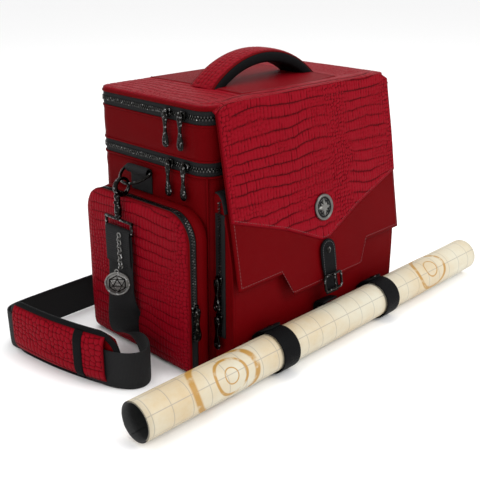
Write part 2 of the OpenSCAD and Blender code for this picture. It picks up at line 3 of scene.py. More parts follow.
import bpy
import numpy as np
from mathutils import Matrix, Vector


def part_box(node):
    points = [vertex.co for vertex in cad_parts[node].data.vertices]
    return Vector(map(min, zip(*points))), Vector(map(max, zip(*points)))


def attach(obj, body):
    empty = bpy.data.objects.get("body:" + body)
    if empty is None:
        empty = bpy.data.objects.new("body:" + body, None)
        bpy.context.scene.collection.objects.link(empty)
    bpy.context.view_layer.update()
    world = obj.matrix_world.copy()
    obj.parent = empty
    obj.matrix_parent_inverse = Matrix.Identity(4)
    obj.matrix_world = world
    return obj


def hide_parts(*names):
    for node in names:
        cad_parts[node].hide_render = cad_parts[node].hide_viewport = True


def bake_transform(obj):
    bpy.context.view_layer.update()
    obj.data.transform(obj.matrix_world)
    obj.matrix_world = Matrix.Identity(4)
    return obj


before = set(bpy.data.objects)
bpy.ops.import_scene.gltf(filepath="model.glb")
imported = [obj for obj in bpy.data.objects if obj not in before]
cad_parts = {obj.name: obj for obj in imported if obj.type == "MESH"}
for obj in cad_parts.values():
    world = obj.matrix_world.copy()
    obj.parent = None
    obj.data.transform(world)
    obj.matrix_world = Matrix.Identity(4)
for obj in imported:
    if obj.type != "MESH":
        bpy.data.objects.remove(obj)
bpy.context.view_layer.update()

# ---------------------------------------------------------------------------
# Camera: a short tele lens, standing to the front left of the bag and a
# little above it.
camera = bpy.data.objects.new("camera", bpy.data.cameras.new("camera"))
bpy.context.scene.collection.objects.link(camera)
camera.location = (-0.69939, -0.67863, 0.46518)
camera.rotation_euler = (radians(90 - 21.07), 0, radians(-45.24))
camera.data.lens = 59.1
camera.data.sensor_width = 36
camera.data.clip_start = 0.01
bpy.context.scene.camera = camera
bpy.context.scene.view_settings.view_transform = "Standard"
bpy.context.scene.view_settings.look = "None"

# ---------------------------------------------------------------------------
# Studio: a pale floor, a bright even surround and three large soft lamps.
floor = bpy.data.objects.new("floor", bpy.data.meshes.new("floor"))
floor.data.from_pydata([(-6, -6, 0), (6, -6, 0), (6, 6, 0), (-6, 6, 0)], [], [(0, 1, 2, 3)])
bpy.context.scene.collection.objects.link(floor)
floor_paint = bpy.data.materials.new("floor_paint")
floor_paint.use_nodes = True
floor_paint.node_tree.nodes["Principled BSDF"].inputs["Base Color"].default_value = (0.97, 0.97, 0.97, 1)
floor_paint.node_tree.nodes["Principled BSDF"].inputs["Roughness"].default_value = 0.9
floor.data.materials.append(floor_paint)

surround = bpy.data.worlds.new("surround")
surround.use_nodes = True
surround.node_tree.nodes["Background"].inputs["Color"].default_value = (1, 1, 1, 1)
surround.node_tree.nodes["Background"].inputs["Strength"].default_value = 0.95
bpy.context.scene.world = surround


def softbox(name, place, aim, side, watts):
    """A square area lamp at place that faces aim."""
    lamp = bpy.data.lights.new(name, "AREA")
    lamp.size = side
    lamp.energy = watts
    holder = bpy.data.objects.new(name, lamp)
    bpy.context.scene.collection.objects.link(holder)
    dx, dy, dz = (a - p for a, p in zip(aim, place))
    holder.location = place
    holder.rotation_euler = (atan2((dx * dx + dy * dy) ** 0.5, -dz), 0, atan2(-dx, dy) if dx or dy else 0)


softbox("key_lamp", (0.7, -1.7, 1.5), (0, 0, 0.15), 1.1, 24)
softbox("side_lamp", (-1.8, -0.3, 0.9), (0, 0, 0.12), 0.9, 5)
softbox("top_lamp", (0.1, 0.3, 1.9), (0, 0, 0.2), 1.2, 14)

# ---------------------------------------------------------------------------
# Lower deck wall: smooth red faux leather over padded board, swelling a
# little between its corners. It is one sewn band that stands on the bottom
# board, with the rim turned over at the top.
MM = 0.001
SIDES = (-1, "left"), (1, "right")


def toss(i, j, k=0.0):
    """The same number from 0 to 1 for the same whole numbers: the fraction of a large sine."""
    return np.modf(np.abs(np.sin(i * 127.1 + j * 311.7 + k * 74.7) * 43758.5453))[0]


def drift(x, y, size, seed=0.0):
    """Smooth value noise from -1 to 1: random corner values of a square lattice, blended with 3t^2 - 2t^3."""
    x, y = np.asarray(x) / size + 1000, np.asarray(y) / size + 1000
    i, j = np.floor(x), np.floor(y)
    a, b = x - i, y - j
    a, b = a * a * (3 - 2 * a), b * b * (3 - 2 * b)
    low = toss(i, j, seed) * (1 - a) + toss(i + 1, j, seed) * a
    high = toss(i, j + 1, seed) * (1 - a) + toss(i + 1, j + 1, seed) * a
    return 2 * (low * (1 - b) + high * b) - 1


def unit(v):
    """Vectors along the last axis, at length 1."""
    return v / np.maximum(np.linalg.norm(v, axis=-1, keepdims=True), 1e-9)


def travelled(path):
    """Distance along a path at each of its points."""
    return np.concatenate([[0], np.cumsum(np.linalg.norm(np.diff(path, axis=0), axis=1))])


def around(count):
    """Angles of count equal steps round a circle."""
    return np.linspace(0, 2 * pi, count, endpoint=False)


def squared(q, wide, high):
    """A rounded bar's outline: the cosine and sine of q, raised to powers with their signs kept."""
    return np.sign(np.cos(q)) * np.abs(np.cos(q)) ** wide, np.sign(np.sin(q)) * np.abs(np.sin(q)) ** high


def along_path(s, path_run, path):
    """A path's columns read at the distances s."""
    return np.stack([np.interp(s, path_run, path[:, k]) for k in range(path.shape[1])], -1)


def piece(name, points, faces, smooth=True):
    """A mesh object at the origin from millimetre points and faces."""
    mesh = bpy.data.meshes.new(name)
    mesh.from_pydata((np.asarray(points, float).reshape(-1, 3) * MM).tolist(), [], faces)
    mesh.polygons.foreach_set("use_smooth", [smooth] * len(mesh.polygons))
    mesh.update()
    thing = bpy.data.objects.new(name, mesh)
    bpy.context.scene.collection.objects.link(thing)
    return thing


def grid(name, p, wrap_u=False, wrap_v=False, caps=False, uv=None, relief=None, flip=False):
    """A surface from a grid of points p[u, v], closed in u or v where asked, with flat caps at both
        ends of u."""
    nu, nv = p.shape[:2]
    i = np.arange(nu if wrap_u else nu - 1)[:, None]
    j = np.arange(nv if wrap_v else nv - 1)[None, :]
    i2, j2 = (i + 1) % nu, (j + 1) % nv
    quads = np.stack([i * nv + j, i2 * nv + j, i2 * nv + j2, i * nv + j2], -1).reshape(-1, 4)
    if flip:
        quads = quads[:, ::-1]
    faces = quads.tolist()
    if caps:
        first, last = list(range(nv)), list(range((nu - 1) * nv, nu * nv))
        faces += [first[::-1] if flip else first, last if flip else last[::-1]]
    thing = piece(name, p, faces)
    if caps:
        for k in (-1, -2):
            thing.data.polygons[k].use_smooth = False
    loops = np.empty(len(thing.data.loops), np.int32)
    thing.data.loops.foreach_get("vertex_index", loops)
    if uv is not None:
        layer = thing.data.uv_layers.new(name="cut")
        layer.data.foreach_set("uv", (np.asarray(uv, float).reshape(-1, 2) * MM)[loops].ravel())
    if relief is not None:
        mark = thing.data.attributes.new("relief", "FLOAT", "POINT")
        mark.data.foreach_set("value", np.asarray(relief, float).ravel())
    return thing


def fit(thing, finish, slot, body, *nodes):
    """Gives a piece its material, hides the nodes it stands for, and lets it ride on a body. The slot is not
    used.
    """
    if finish:
        thing.data.materials.append(finish)
    for node in nodes:
        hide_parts(node)
    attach(thing, body)


def put(tree, kind, sockets=None, **props):
    """Adds a shader node. Each socket is set to a value or linked to another node's output."""
    n = tree.nodes.new("ShaderNode" + kind)
    for key, value in props.items():
        setattr(n, key, value)
    for key, value in (sockets or {}).items():
        if isinstance(value, bpy.types.NodeSocket):
            tree.links.new(value, n.inputs[key])
        else:
            n.inputs[key].default_value = value
    return n


def sums(tree, how, *values, clamp=False):
    """One Math node's result."""
    return put(tree, "Math", dict(enumerate(values)), operation=how, use_clamp=clamp).outputs[0]


def blended(tree, factor, first, second):
    """A colour between first and second."""
    return put(tree, "Mix", {0: factor, 6: first, 7: second}, data_type="RGBA").outputs[2]


def coords(tree, kind):
    """Where the surface is, by Object place or by the piece's own UV map."""
    return put(tree, "TexCoord").outputs[kind]


def noise(tree, vector, scale, **more):
    """One noise texture's value."""
    return put(tree, "TexNoise", {"Vector": vector, "Scale": scale, **more}).outputs["Fac"]


def feed(tree, skin, **linked):
    """Links worked-out values to a shader's sockets. A name's underscore is a space."""
    for key, value in linked.items():
        tree.links.new(value, skin.inputs[key.replace("_", " ")])


def new_group(name, ins, outs):
    """An empty shader group with named sockets. Each is (name, kind, default)."""
    tree = bpy.data.node_groups.new(name, "ShaderNodeTree")
    for side, wanted in (("INPUT", ins), ("OUTPUT", outs)):
        for label, kind, *default in wanted:
            s = tree.interface.new_socket(label, in_out=side, socket_type="NodeSocket" + kind)
            if default:
                s.default_value = default[0]
    return tree, tree.nodes.new("NodeGroupInput").outputs, tree.nodes.new("NodeGroupOutput").inputs


def grain_group():
    """Leather grain: small pebbles from cell distances, broken up by noise, with creases and uneven dye."""
    tree, given, out = new_group("leather_grain",
        [("Vector", "Vector"), ("Pebble", "Float", 900.0), ("Depth", "Float", 0.25)],
        [("Normal", "Vector"), ("Tone", "Float"), ("Rough", "Float")])
    wob = put(tree, "TexNoise", {"Vector": given["Vector"], "Scale": 260.0, "Detail": 3.0})
    moved = put(tree, "VectorMath", {0: given["Vector"],
        1: put(tree, "VectorMath", {0: wob.outputs["Color"], "Scale": 0.0012},
        operation="SCALE").outputs[0]}, operation="ADD").outputs[0]
    cells = put(tree, "TexVoronoi", {"Vector": moved, "Scale": given["Pebble"]},
        feature="DISTANCE_TO_EDGE").outputs["Distance"]
    dome = put(tree, "MapRange", {0: cells, 1: 0.0, 2: 0.22}, interpolation_type="SMOOTHSTEP").outputs[0]
    fine = noise(tree, given["Vector"], 2600.0, Detail=4.0)
    height = sums(tree, "MULTIPLY_ADD", fine, 0.35, dome)
    bump = put(tree, "Bump", {"Strength": given["Depth"], "Distance": 0.0003, "Height": height})
    tree.links.new(bump.outputs[0], out["Normal"])
    broad = noise(tree, given["Vector"], 14.0, Detail=5.0, Roughness=0.6)
    tree.links.new(sums(tree, "MULTIPLY_ADD", broad, 0.6, sums(tree, "MULTIPLY", dome, 0.3)), out["Tone"])
    tree.links.new(sums(tree, "MULTIPLY_ADD", fine, 0.18, sums(tree, "MULTIPLY_ADD", dome, -0.08, 0.0)),
        out["Rough"])
    return tree


leather_grain = grain_group()


def material(name):
    """An empty node material and its Principled shader."""
    m = bpy.data.materials.new(name)
    m.use_nodes = True
    return m, m.node_tree, m.node_tree.nodes["Principled BSDF"]


def placed(tree, group, vector, **values):
    """A copy of a shader group in a material, with its Vector linked and its values set."""
    n = tree.nodes.new("ShaderNodeGroup")
    n.node_tree = group
    tree.links.new(vector, n.inputs["Vector"])
    for key, value in values.items():
        n.inputs[key].default_value = value
    return n.outputs


def smooth_leather(name, dark, light, rough, pebble=900.0, depth=0.3):
    """Coated leather: a grain normal, and dye and roughness that drift with it."""
    m, tree, skin = material(name)
    here = coords(tree, "Object")
    grain = placed(tree, leather_grain, here, Pebble=pebble, Depth=depth)
    feed(tree, skin, Base_Color=blended(tree, grain["Tone"], (*dark, 1), (*light, 1)),
        Roughness=sums(tree, "ADD", grain["Rough"], rough),
        Normal=grain["Normal"])
    skin.inputs["Specular IOR Level"].default_value = 0.02
    return m


red_leather = smooth_leather("smooth_red_leather", (0.080, 0.0003, 0.0011), (0.120, 0.0006, 0.0020), 0.48)
black_leather = smooth_leather("black_leather", (0.003, 0.003, 0.0033), (0.008, 0.008, 0.0085), 0.40)


def evenly(at, out, step):
    """A closed outline and its outward directions, with points added so that the gaps are about one step."""
    nxt, nout = np.roll(at, -1, 0), np.roll(out, -1, 0)
    gap = np.linalg.norm(nxt - at, axis=1)
    count = np.maximum(1, np.round(gap / step)).astype(int)
    which = np.repeat(np.arange(len(at)), count)
    t = np.concatenate([np.arange(c) / c for c in count])[:, None]
    return at[which] * (1 - t) + nxt[which] * t, unit(out[which] * (1 - t) + nout[which] * t)


def plan_path(half_w, half_d, r, step=3.0):
    """Points and outward directions round a rectangle with round corners, evenly enough spaced."""
    at, out = [], []
    for quarter, (sx, sy) in enumerate(((1, 1), (-1, 1), (-1, -1), (1, -1))):
        a = np.linspace(0, pi / 2, 13) + quarter * pi / 2
        n = np.stack([np.cos(a), np.sin(a)], -1)
        at.append(np.array([sx * (half_w - r), sy * (half_d - r)]) + r * n)
        out.append(n)
    p, n = evenly(np.concatenate(at), np.concatenate(out), step)
    return p, n, travelled(p)


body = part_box("lower_shell")
half_w, half_d = body[1][0] / MM, body[1][1] / MM
corner = 20.0
plan, plan_out, plan_run = plan_path(half_w, half_d, corner)


def deck_wall(name, low, high, swell, rim):
    """A wall carried round the plan: its outside bulges by swell half way up and its rim turns inwards."""
    t = np.linspace(0, 1, 22)
    out_z = low + (high - low) * t
    bulge = -0.5 + swell * np.sin(pi * t) ** 0.7
    bulge[0], bulge[-1] = -1.6, -1.4
    turn = np.linspace(0, 1, 5)
    off = np.concatenate([bulge, -1.6 - rim * turn, np.full(4, -2.3)[::-1]])
    z = np.concatenate([out_z, np.full(5, high + 0.1), np.linspace(high - 1, low, 4)])
    wrinkle = drift(plan_run[:, None], z[None, :] * 2.2, 46, 3) * 0.55 + drift(plan_run[:, None], z[None, :],
        15, 5) * 0.12
    straight = np.clip(1 - np.abs(np.abs(plan_out[:, 0]) * np.abs(plan_out[:, 1])) * 3, 0, 1)[:, None]
    depth = off[None, :] + np.where(off[None, :] > -1.2,
        wrinkle * straight - (1 - straight) * swell * 0.5 * (off[None, :] > 0), 0)
    p = np.empty((len(plan), len(off), 3))
    p[..., :2] = plan[:, None] + plan_out[:, None] * depth[..., None]
    p[..., 2] = z[None, :]
    wall = grid(name, p, wrap_u=True, wrap_v=True)
    wall.data.materials.append(red_leather)
    return wall


low_z, rim_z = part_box("base_board")[1][2] / MM, body[1][2] / MM
lower_wall = deck_wall("lower_deck_wall", low_z, rim_z, 1.6, 0.9)
fit(lower_wall, None, "red_leather", "lower_case", "lower_shell")

# ---------------------------------------------------------------------------
# Upper deck wall: the same band, shallower, between the two zips.
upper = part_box("upper_shell")
upper_wall = deck_wall("upper_deck_wall", upper[0][2] / MM, upper[1][2] / MM, 1.0, 0.9)
fit(upper_wall, None, "red_leather", "upper_case", "upper_shell")
deck_floor_points = [(x, y) for x, y in plan - plan_out * 2.0]
deck_floor = piece("upper_deck_floor",
    [(x, y, upper[0][2] / MM + 0.4) for x, y in deck_floor_points]
    + [(x, y, upper[0][2] / MM + 2.2) for x, y in deck_floor_points],
    [list(range(len(plan)))[::-1], [len(plan) + k for k in range(len(plan))]]
    + [(k, (k + 1) % len(plan), len(plan) + (k + 1) % len(plan), len(plan) + k) for k in range(len(plan))],
    smooth=False)
fit(deck_floor, red_leather, "red_leather", "upper_case")

# ---------------------------------------------------------------------------
# Piping: a thin round cord of the same leather sewn along each deck edge and
# up the two front corners, where the wall panels meet.


def tube(name, path, radius, sides=8, closed=False, mat=None, taper=None):
    """A circle carried along a path: it lies across the path, and a fixed up direction keeps it from
        twisting."""
    path = np.asarray(path, float)
    step = (np.roll(path, -1, 0) - np.roll(path, 1, 0)) if closed else np.gradient(path, axis=0)
    t = unit(step)
    flat = np.ptp(path, axis=0)
    up = np.eye(3)[int(np.argmin(flat))]
    side = unit(np.cross(t, up))
    lift = np.cross(side, t)
    a = around(sides)
    r = np.full(len(path), radius) if taper is None else radius * np.asarray(taper)
    p = path[:, None] + r[:, None, None] * (np.cos(a)[None, :, None] * side[:, None]
        + np.sin(a)[None, :, None] * lift[:, None])
    thing = grid(name, p, wrap_u=closed, wrap_v=True, caps=not closed)
    if mat:
        thing.data.materials.append(mat)
    return thing


def ring_cord(name, z, out, radius, mat):
    """A closed cord round the plan at one height."""
    path = np.column_stack([plan + plan_out * out, np.full(len(plan), z)])
    return tube(name, path, radius, closed=True, mat=mat)


lid_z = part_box("lid_panel")[0][2] / MM
for name, z, rider in (("lower_edge_piping", rim_z - 0.8, "lower_case"),
    ("upper_foot_piping", upper[0][2] / MM + 0.8, "upper_case"),
                       ("upper_edge_piping", upper[1][2] / MM - 0.8, "upper_case"),
                       ("lid_foot_piping", lid_z + 0.9, "lid")):
    cord = ring_cord(name, z, -0.4, 1.25, red_leather)
    fit(cord, None, "red_leather", rider)
for side in (-1, 1):
    z = np.linspace(low_z, rim_z - 1, 40)
    reach = corner * (1 - 0.7071) - 1.0
    seam = tube("corner_piping_" + ("left" if side < 0 else "right"),
        np.column_stack([np.full(40, side * (half_w - reach)), np.full(40, -half_d + reach), z]), 1.3,
        mat=red_leather)
    fit(seam, None, "red_leather", "lower_case")

# ---------------------------------------------------------------------------
# Zips: black woven tape, a little rippled, sewn round each deck's rim. The
# chain is separate dark metal teeth whose two halves mesh by half a pitch.


def weave_group():
    """Woven cloth: two crossed sets of ribs whose heights alternate, with fuzz and uneven black dye."""
    tree, given, out = new_group("woven",
        [("Vector", "Vector"), ("Threads", "Float", 1400.0), ("Depth", "Float", 0.4)],
        [("Normal", "Vector"), ("Tone", "Float")])
    warp = put(tree, "TexWave", {"Vector": given["Vector"], "Scale": given["Threads"], "Distortion": 0.6,
        "Detail": 1.0},
        wave_type="BANDS", bands_direction="X").outputs["Fac"]
    weft = put(tree, "TexWave", {"Vector": given["Vector"], "Scale": given["Threads"], "Distortion": 0.6,
        "Detail": 1.0},
        wave_type="BANDS", bands_direction="Y").outputs["Fac"]
    cloth = sums(tree, "MULTIPLY", warp, weft)
    fuzz = noise(tree, given["Vector"], 700.0, Detail=5.0)
    height = sums(tree, "MULTIPLY_ADD", fuzz, 0.5, cloth)
    bump = put(tree, "Bump", {"Strength": given["Depth"], "Distance": 0.0004, "Height": height})
    tree.links.new(bump.outputs[0], out["Normal"])
    tree.links.new(sums(tree, "MULTIPLY_ADD", fuzz, 0.6, sums(tree, "MULTIPLY", cloth, 0.5)), out["Tone"])
    return tree


woven = weave_group()


def cloth_material(name, dark, light, threads, depth=0.5, by_uv=False):
    """Woven fabric that reads the piece's own UV map, or Object coordinates on a carried-over node."""
    m, tree, skin = material(name)
    w = placed(tree, woven, coords(tree, "UV" if by_uv else "Object"), Threads=threads, Depth=depth)
    feed(tree, skin, Base_Color=blended(tree, w["Tone"], (*dark, 1), (*light, 1)),
        Normal=w["Normal"])
    skin.inputs["Roughness"].default_value = 0.78
    skin.inputs["Specular IOR Level"].default_value = 0.2
    return m


zip_tape = cloth_material("zip_tape", (0.002, 0.002, 0.0025), (0.009, 0.009, 0.0095), 260.0)


def metal(name, colour, rough, scratch=0.06):
    """Plated metal: fine scratches and handling marks in its roughness and normal, and small painted glints in
    its colour.
    """
    m, tree, skin = material(name)
    here = coords(tree, "Object")
    fine = noise(tree, here, 1400.0, Detail=6.0, Roughness=0.7)
    broad = noise(tree, here, 120.0, Detail=4.0)
    feed(tree, skin, Roughness=sums(tree, "MULTIPLY_ADD", broad, 0.22, rough - 0.1))
    plated = blended(tree, broad, (*[c * 0.5 for c in colour], 1), (*colour, 1))
    # Painted glints: where this noise peaks, the colour is raised towards pale grey as a stand-in for reflected
    # light.
    bright = noise(tree, here, 330.0, Detail=2.0)
    painted_glints = put(tree, "MapRange", {0: bright, 1: 0.56, 2: 0.70}, interpolation_type="SMOOTHSTEP").outputs[0]
    feed(tree, skin, Base_Color=blended(tree, painted_glints, plated, (*[min(0.5, 0.16 + 3.0 * c) for c in colour], 1)))
    cast_marks = put(tree, "TexVoronoi", {"Vector": here, "Scale": 420.0},
        feature="SMOOTH_F1").outputs["Distance"]
    bump = put(tree, "Bump", {"Strength": scratch, "Distance": 0.0006,
        "Height": sums(tree, "MULTIPLY_ADD", fine, 0.2, cast_marks)})
    feed(tree, skin, Normal=bump.outputs[0])
    skin.inputs["Metallic"].default_value = 1.0
    return m


gunmetal = metal("gunmetal", (0.013, 0.012, 0.011), 0.19, 0.4)
tooth_metal = metal("zip_tooth_metal", (0.07, 0.068, 0.065), 0.34)
for node, rider in (("middle_zip_lower", "lower_case"), ("middle_zip_upper", "upper_case"),
                    ("top_zip_lower", "upper_case"), ("top_zip_upper", "lid")):
    foot, head = (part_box(node)[k][2] / MM for k in (0, 1))
    off = np.array([-2.3, -1.1, -0.6, -0.5, -0.5, -0.6, -1.1, -2.3])
    high = foot + (head - foot) * np.array([0, 0, 0.12, 0.4, 0.6, 0.88, 1, 1])
    ripple = 0.16 * drift(plan_run[:, None], high[None, :], 9, foot) * (off > -1)[None, :]
    p = np.empty((len(plan), len(off), 3))
    p[..., :2] = plan[:, None] + plan_out[:, None] * (off + ripple)[..., None]
    p[..., 2] = high[None, :]
    band = grid(node + "_tape", p, wrap_u=True, wrap_v=True)
    fit(band, zip_tape, "zip_tape", rider, node)


def blocks(name, at, along, out, across, size, mat):
    """Small six-sided blocks: the eight corners of a box set at each place along three directions."""
    corners = np.array([(x, y, z) for x in (-.5, .5) for y in (-.5, .5) for z in (-.5, .5)]) * np.array(size)
    p = at[:, None] + corners[None, :, :1] * along[:, None] + corners[None, :, 1:2] * out[:,
        None] + corners[None, :, 2:] * across[:, None]
    sides = np.array([(0, 1, 3, 2), (4, 6, 7, 5), (0, 4, 5, 1), (2, 3, 7, 6), (0, 2, 6, 4), (1, 5, 7, 3)])
    faces = (sides[None] + 8 * np.arange(len(at))[:, None, None]).reshape(-1, 4)
    if np.linalg.det(np.stack([along[0], out[0], across[0]])) < 0:
        faces = faces[:, ::-1]
    thing = piece(name, p, faces.tolist(), smooth=False)
    thing.data.materials.append(mat)
    return thing


def spaced(path, out, pitch, start=0.0, closed=True):
    """Places at equal steps along a path, with their direction and outward direction."""
    ring = np.vstack([path, path[:1]]) if closed else path
    norm = np.vstack([out, out[:1]]) if closed else out
    run = travelled(ring)
    s = np.arange(start, run[-1] - 1e-6, pitch)
    at = along_path(s, run, ring)
    n = unit(along_path(s, run, norm))
    ahead = np.stack([np.interp(s + 0.5, run, ring[:, k]) for k in range(3)], -1)
    t = ahead - at
    t[-1] = t[-2]
    return at, unit(t), n


pitch = 3.3
tooth_size = (1.3, 1.5, 2.1)
plan3, out3 = np.column_stack([plan, np.zeros(len(plan))]), np.column_stack([plan_out, np.zeros(len(plan))])
for name, node, upward, rider in (("middle_teeth_lower", "middle_zip_lower", 1, "lower_case"),
    ("middle_teeth_upper", "middle_zip_upper", -1, "upper_case"),
                                  ("top_teeth_lower", "top_zip_lower", 1, "upper_case"),
                                  ("top_teeth_upper", "top_zip_upper", -1, "lid")):
    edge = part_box(node)[1 if upward > 0 else 0][2] / MM
    at, along, out = spaced(plan3, out3, pitch, 0 if upward > 0 else pitch / 2)
    at = at + out * 0.1 + np.array([0, 0, edge - upward * 1.0])
    chain = blocks(name, at, along, out, np.tile([0.0, 0, 1], (len(at), 1)), tooth_size, tooth_metal)
    fit(chain, None, "gunmetal", rider)

# ---------------------------------------------------------------------------
# Embossed leather: hide pressed with a reptile pattern. Rows of tall narrow
# scutes run into patches of small round pebbles. The relief is in the mesh;
# the creases are painted dark as shade and the scale tops paler as a painted highlight.


def scales(x, y, row, scute, patches, seed=0.0):
    """Relief from 0 in a crease to 1 on a scale. Rows of height row are cut into cells of width scute, each a
    pillow of two raised powers; in patches, cells round jittered points are used instead."""
    x, y = np.asarray(x, float), np.asarray(y, float)
    u = x + 2.2 * drift(x, y, 30, seed + 1) + 0.5 * drift(x, y, 7, seed + 2)
    v = y + 5.5 * drift(x, y, 48, seed + 3) + 0.8 * drift(x, y, 9, seed + 4)
    line = np.floor(v / row)
    wide = scute * (0.9 + 0.25 * toss(line, seed + 5.0, 1.0))
    slot = (u + 40 * toss(line, seed + 6.0, 2.0)) / wide
    a, b = np.abs(2 * (slot - np.floor(slot)) - 1), np.abs(2 * (v / row - line) - 1)
    plates = (1 - (0.6 + 0.35 * toss(np.floor(slot + 0.5), line, seed)) * a ** 5) * (1 - b ** 6)
    cell = scute * 1.05
    gx, gy = u / cell + 500, v / cell + 500
    i, j = np.floor(gx), np.floor(gy)
    near, second = np.full(x.shape, 9.0), np.full(x.shape, 9.0)
    for di in (-1, 0, 1):
        for dj in (-1, 0, 1):
            cx = i + di + 0.5 + 0.62 * (toss(i + di, j + dj, seed + 7) - 0.5)
            cy = j + dj + 0.5 + 0.62 * (toss(i + di, j + dj, seed + 8) - 0.5)
            d = np.hypot(gx - cx, gy - cy)
            second = np.where(d < near, near, np.minimum(second, d))
            near = np.minimum(near, d)
    pebbles = np.clip((second - near) / 0.42, 0, 1)
    pebbles = pebbles * (2 - pebbles)
    mix = np.clip(patches * 3, 0, 1)
    return plates * (1 - mix) + pebbles * mix


def embossed_material():
    """Embossed hide: painted shade in the creases, the dyed body colour, and a paler painted highlight on the
    tops, chosen by the mesh's relief.
    """
    m, tree, skin = material("embossed_red_leather")
    here = coords(tree, "Object")
    relief = put(tree, "Attribute", attribute_name="relief").outputs["Fac"]
    grain = placed(tree, leather_grain, here, Pebble=1500.0, Depth=0.18)
    rise = put(tree, "MapRange", {0: relief, 1: 0.05, 2: 0.75}, interpolation_type="SMOOTHSTEP").outputs[0]
    top = put(tree, "MapRange", {0: relief, 1: 0.6, 2: 1.0}).outputs[0]
    body_dye = blended(tree, grain["Tone"], (0.135, 0.0008, 0.0042, 1), (0.185, 0.0016, 0.0065, 1))
    # Painted shade: the dark crease colour stands in for the shade in the grooves.
    low = blended(tree, rise, (0.034, 0.0006, 0.0018, 1), body_dye)
    # Painted highlight: the paler colour on the highest relief stands in for light catching the scale tops.
    dye_with_painted_light = blended(tree, sums(tree, "MULTIPLY", top, 0.45), low, (0.25, 0.005, 0.014, 1))
    feed(tree, skin, Base_Color=dye_with_painted_light,
        Roughness=sums(tree, "ADD", sums(tree, "MULTIPLY_ADD", rise, -0.16, 0.50), grain["Rough"]),
        Normal=grain["Normal"])
    skin.inputs["Specular IOR Level"].default_value = 0.02
    return m


embossed_leather = embossed_material()


def rounded(u, v, half_u, low, high, r_top, r_low):
    """Points of a square grid u, v in -1..1 moved into a rectangle whose corners are round: inside a
        corner, the
    unit square goes to the unit disc by a = a*sqrt(1 - b*b/2)."""
    x = u * half_u
    y = low + (v + 1) / 2 * (high - low)
    for r, edge, way in ((r_top, high - r_top, 1), (r_low, low + r_low, -1)):
        a = np.clip((np.abs(x) - (half_u - r)) / r, 0, 1)
        b = np.clip(way * (y - edge) / r, 0, 1)
        both = (a > 0) & (b > 0)
        a2, b2 = a * np.sqrt(1 - b * b / 2), b * np.sqrt(1 - a * a / 2)
        x = np.where(both, np.sign(x) * (half_u - r + r * a2), x)
        y = np.where(both, edge + way * r * b2, y)
    return x, y


def solid(thing, thick):
    """Gives a sheet its thickness with a Solidify modifier."""
    wall = thing.modifiers.new("thickness", "SOLIDIFY")
    wall.thickness = thick * MM
    wall.offset = -1.0
    return thing


# ---------------------------------------------------------------------------
# Thread: heavy black or red stitches, each a short rounded stick sunk in the
# leather, a few millimetres apart.


def thread(name, dark, light):
    """Twisted thread: its dye flickers between two shades at the scale of the twist."""
    m, tree, skin = material(name)
    skin.inputs["Roughness"].default_value = 0.6
    twist = noise(tree, coords(tree, "Object"), 2200.0, Detail=3.0)
    feed(tree, skin, Base_Color=blended(tree, twist, (*dark, 1), (*light, 1)))
    return m


thread_red = thread("red_thread", (0.060, 0.0008, 0.002), (0.14, 0.0012, 0.004))
thread_black = thread("black_thread", (0.004, 0.004, 0.005), (0.05, 0.05, 0.052))


def stitches(name, path, out, mat, rider, slot, length=2.6, gap=1.4, closed=False):
    """Stitches along a path: short blocks, a third as high as wide, half sunk."""
    at, along, n = spaced(np.asarray(path, float), np.asarray(out, float), length + gap, 0.5, closed)
    row = blocks(name, at, along, n, unit(np.cross(along, n)), (length, 0.5, 0.8), mat)
    fit(row, None, slot, rider)
    return row


# ---------------------------------------------------------------------------
# Side pockets: a smooth leather gusset, a zip band, and a domed embossed face
# with a corded edge. Both sides are alike.
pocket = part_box("left_pocket")
pocket_mid = (pocket[0][1] + pocket[1][1]) / 2 / MM
pocket_low, pocket_high = pocket[0][2] / MM, pocket[1][2] / MM
pocket_half = (pocket[1][1] - pocket[0][1]) / 2 / MM


def arch_path(half, low, high, r_top, r_low, n=16):
    """The pocket's closed outline from the bottom middle round to it again, with outward directions."""
    turns = [(half - r_low, low + r_low, r_low, -pi / 2), (half - r_top, high - r_top, r_top, 0),
             (-half + r_top, high - r_top, r_top, pi / 2), (-half + r_low, low + r_low, r_low, pi)]
    at, out = [], []
    for cx, cy, r, start in turns:
        a = start + np.linspace(0, pi / 2, n)
        d = np.stack([np.cos(a), np.sin(a)], -1)
        at.append(np.array([cx, cy]) + r * d)
        out.append(d)
    return evenly(np.concatenate(at), np.concatenate(out), 4)


arch, arch_out = arch_path(pocket_half, pocket_low, pocket_high, 34, 10)


def pocket_ring(name, side, profile, mat):
    """A closed profile of (distance from the wall, distance inside the outline) carried round the pocket."""
    prof = np.asarray(profile, float)
    p = np.empty((len(arch), len(prof), 3))
    p[..., 0] = side * (half_w + prof[None, :, 0])
    inward = -prof[None, :, 1]
    p[..., 1] = pocket_mid + arch[:, None, 0] + arch_out[:, None, 0] * inward
    p[..., 2] = arch[:, None, 1] + arch_out[:, None, 1] * inward
    thing = grid(name, p, wrap_u=True, wrap_v=True, flip=side < 0)
    thing.data.materials.append(mat)
    return thing


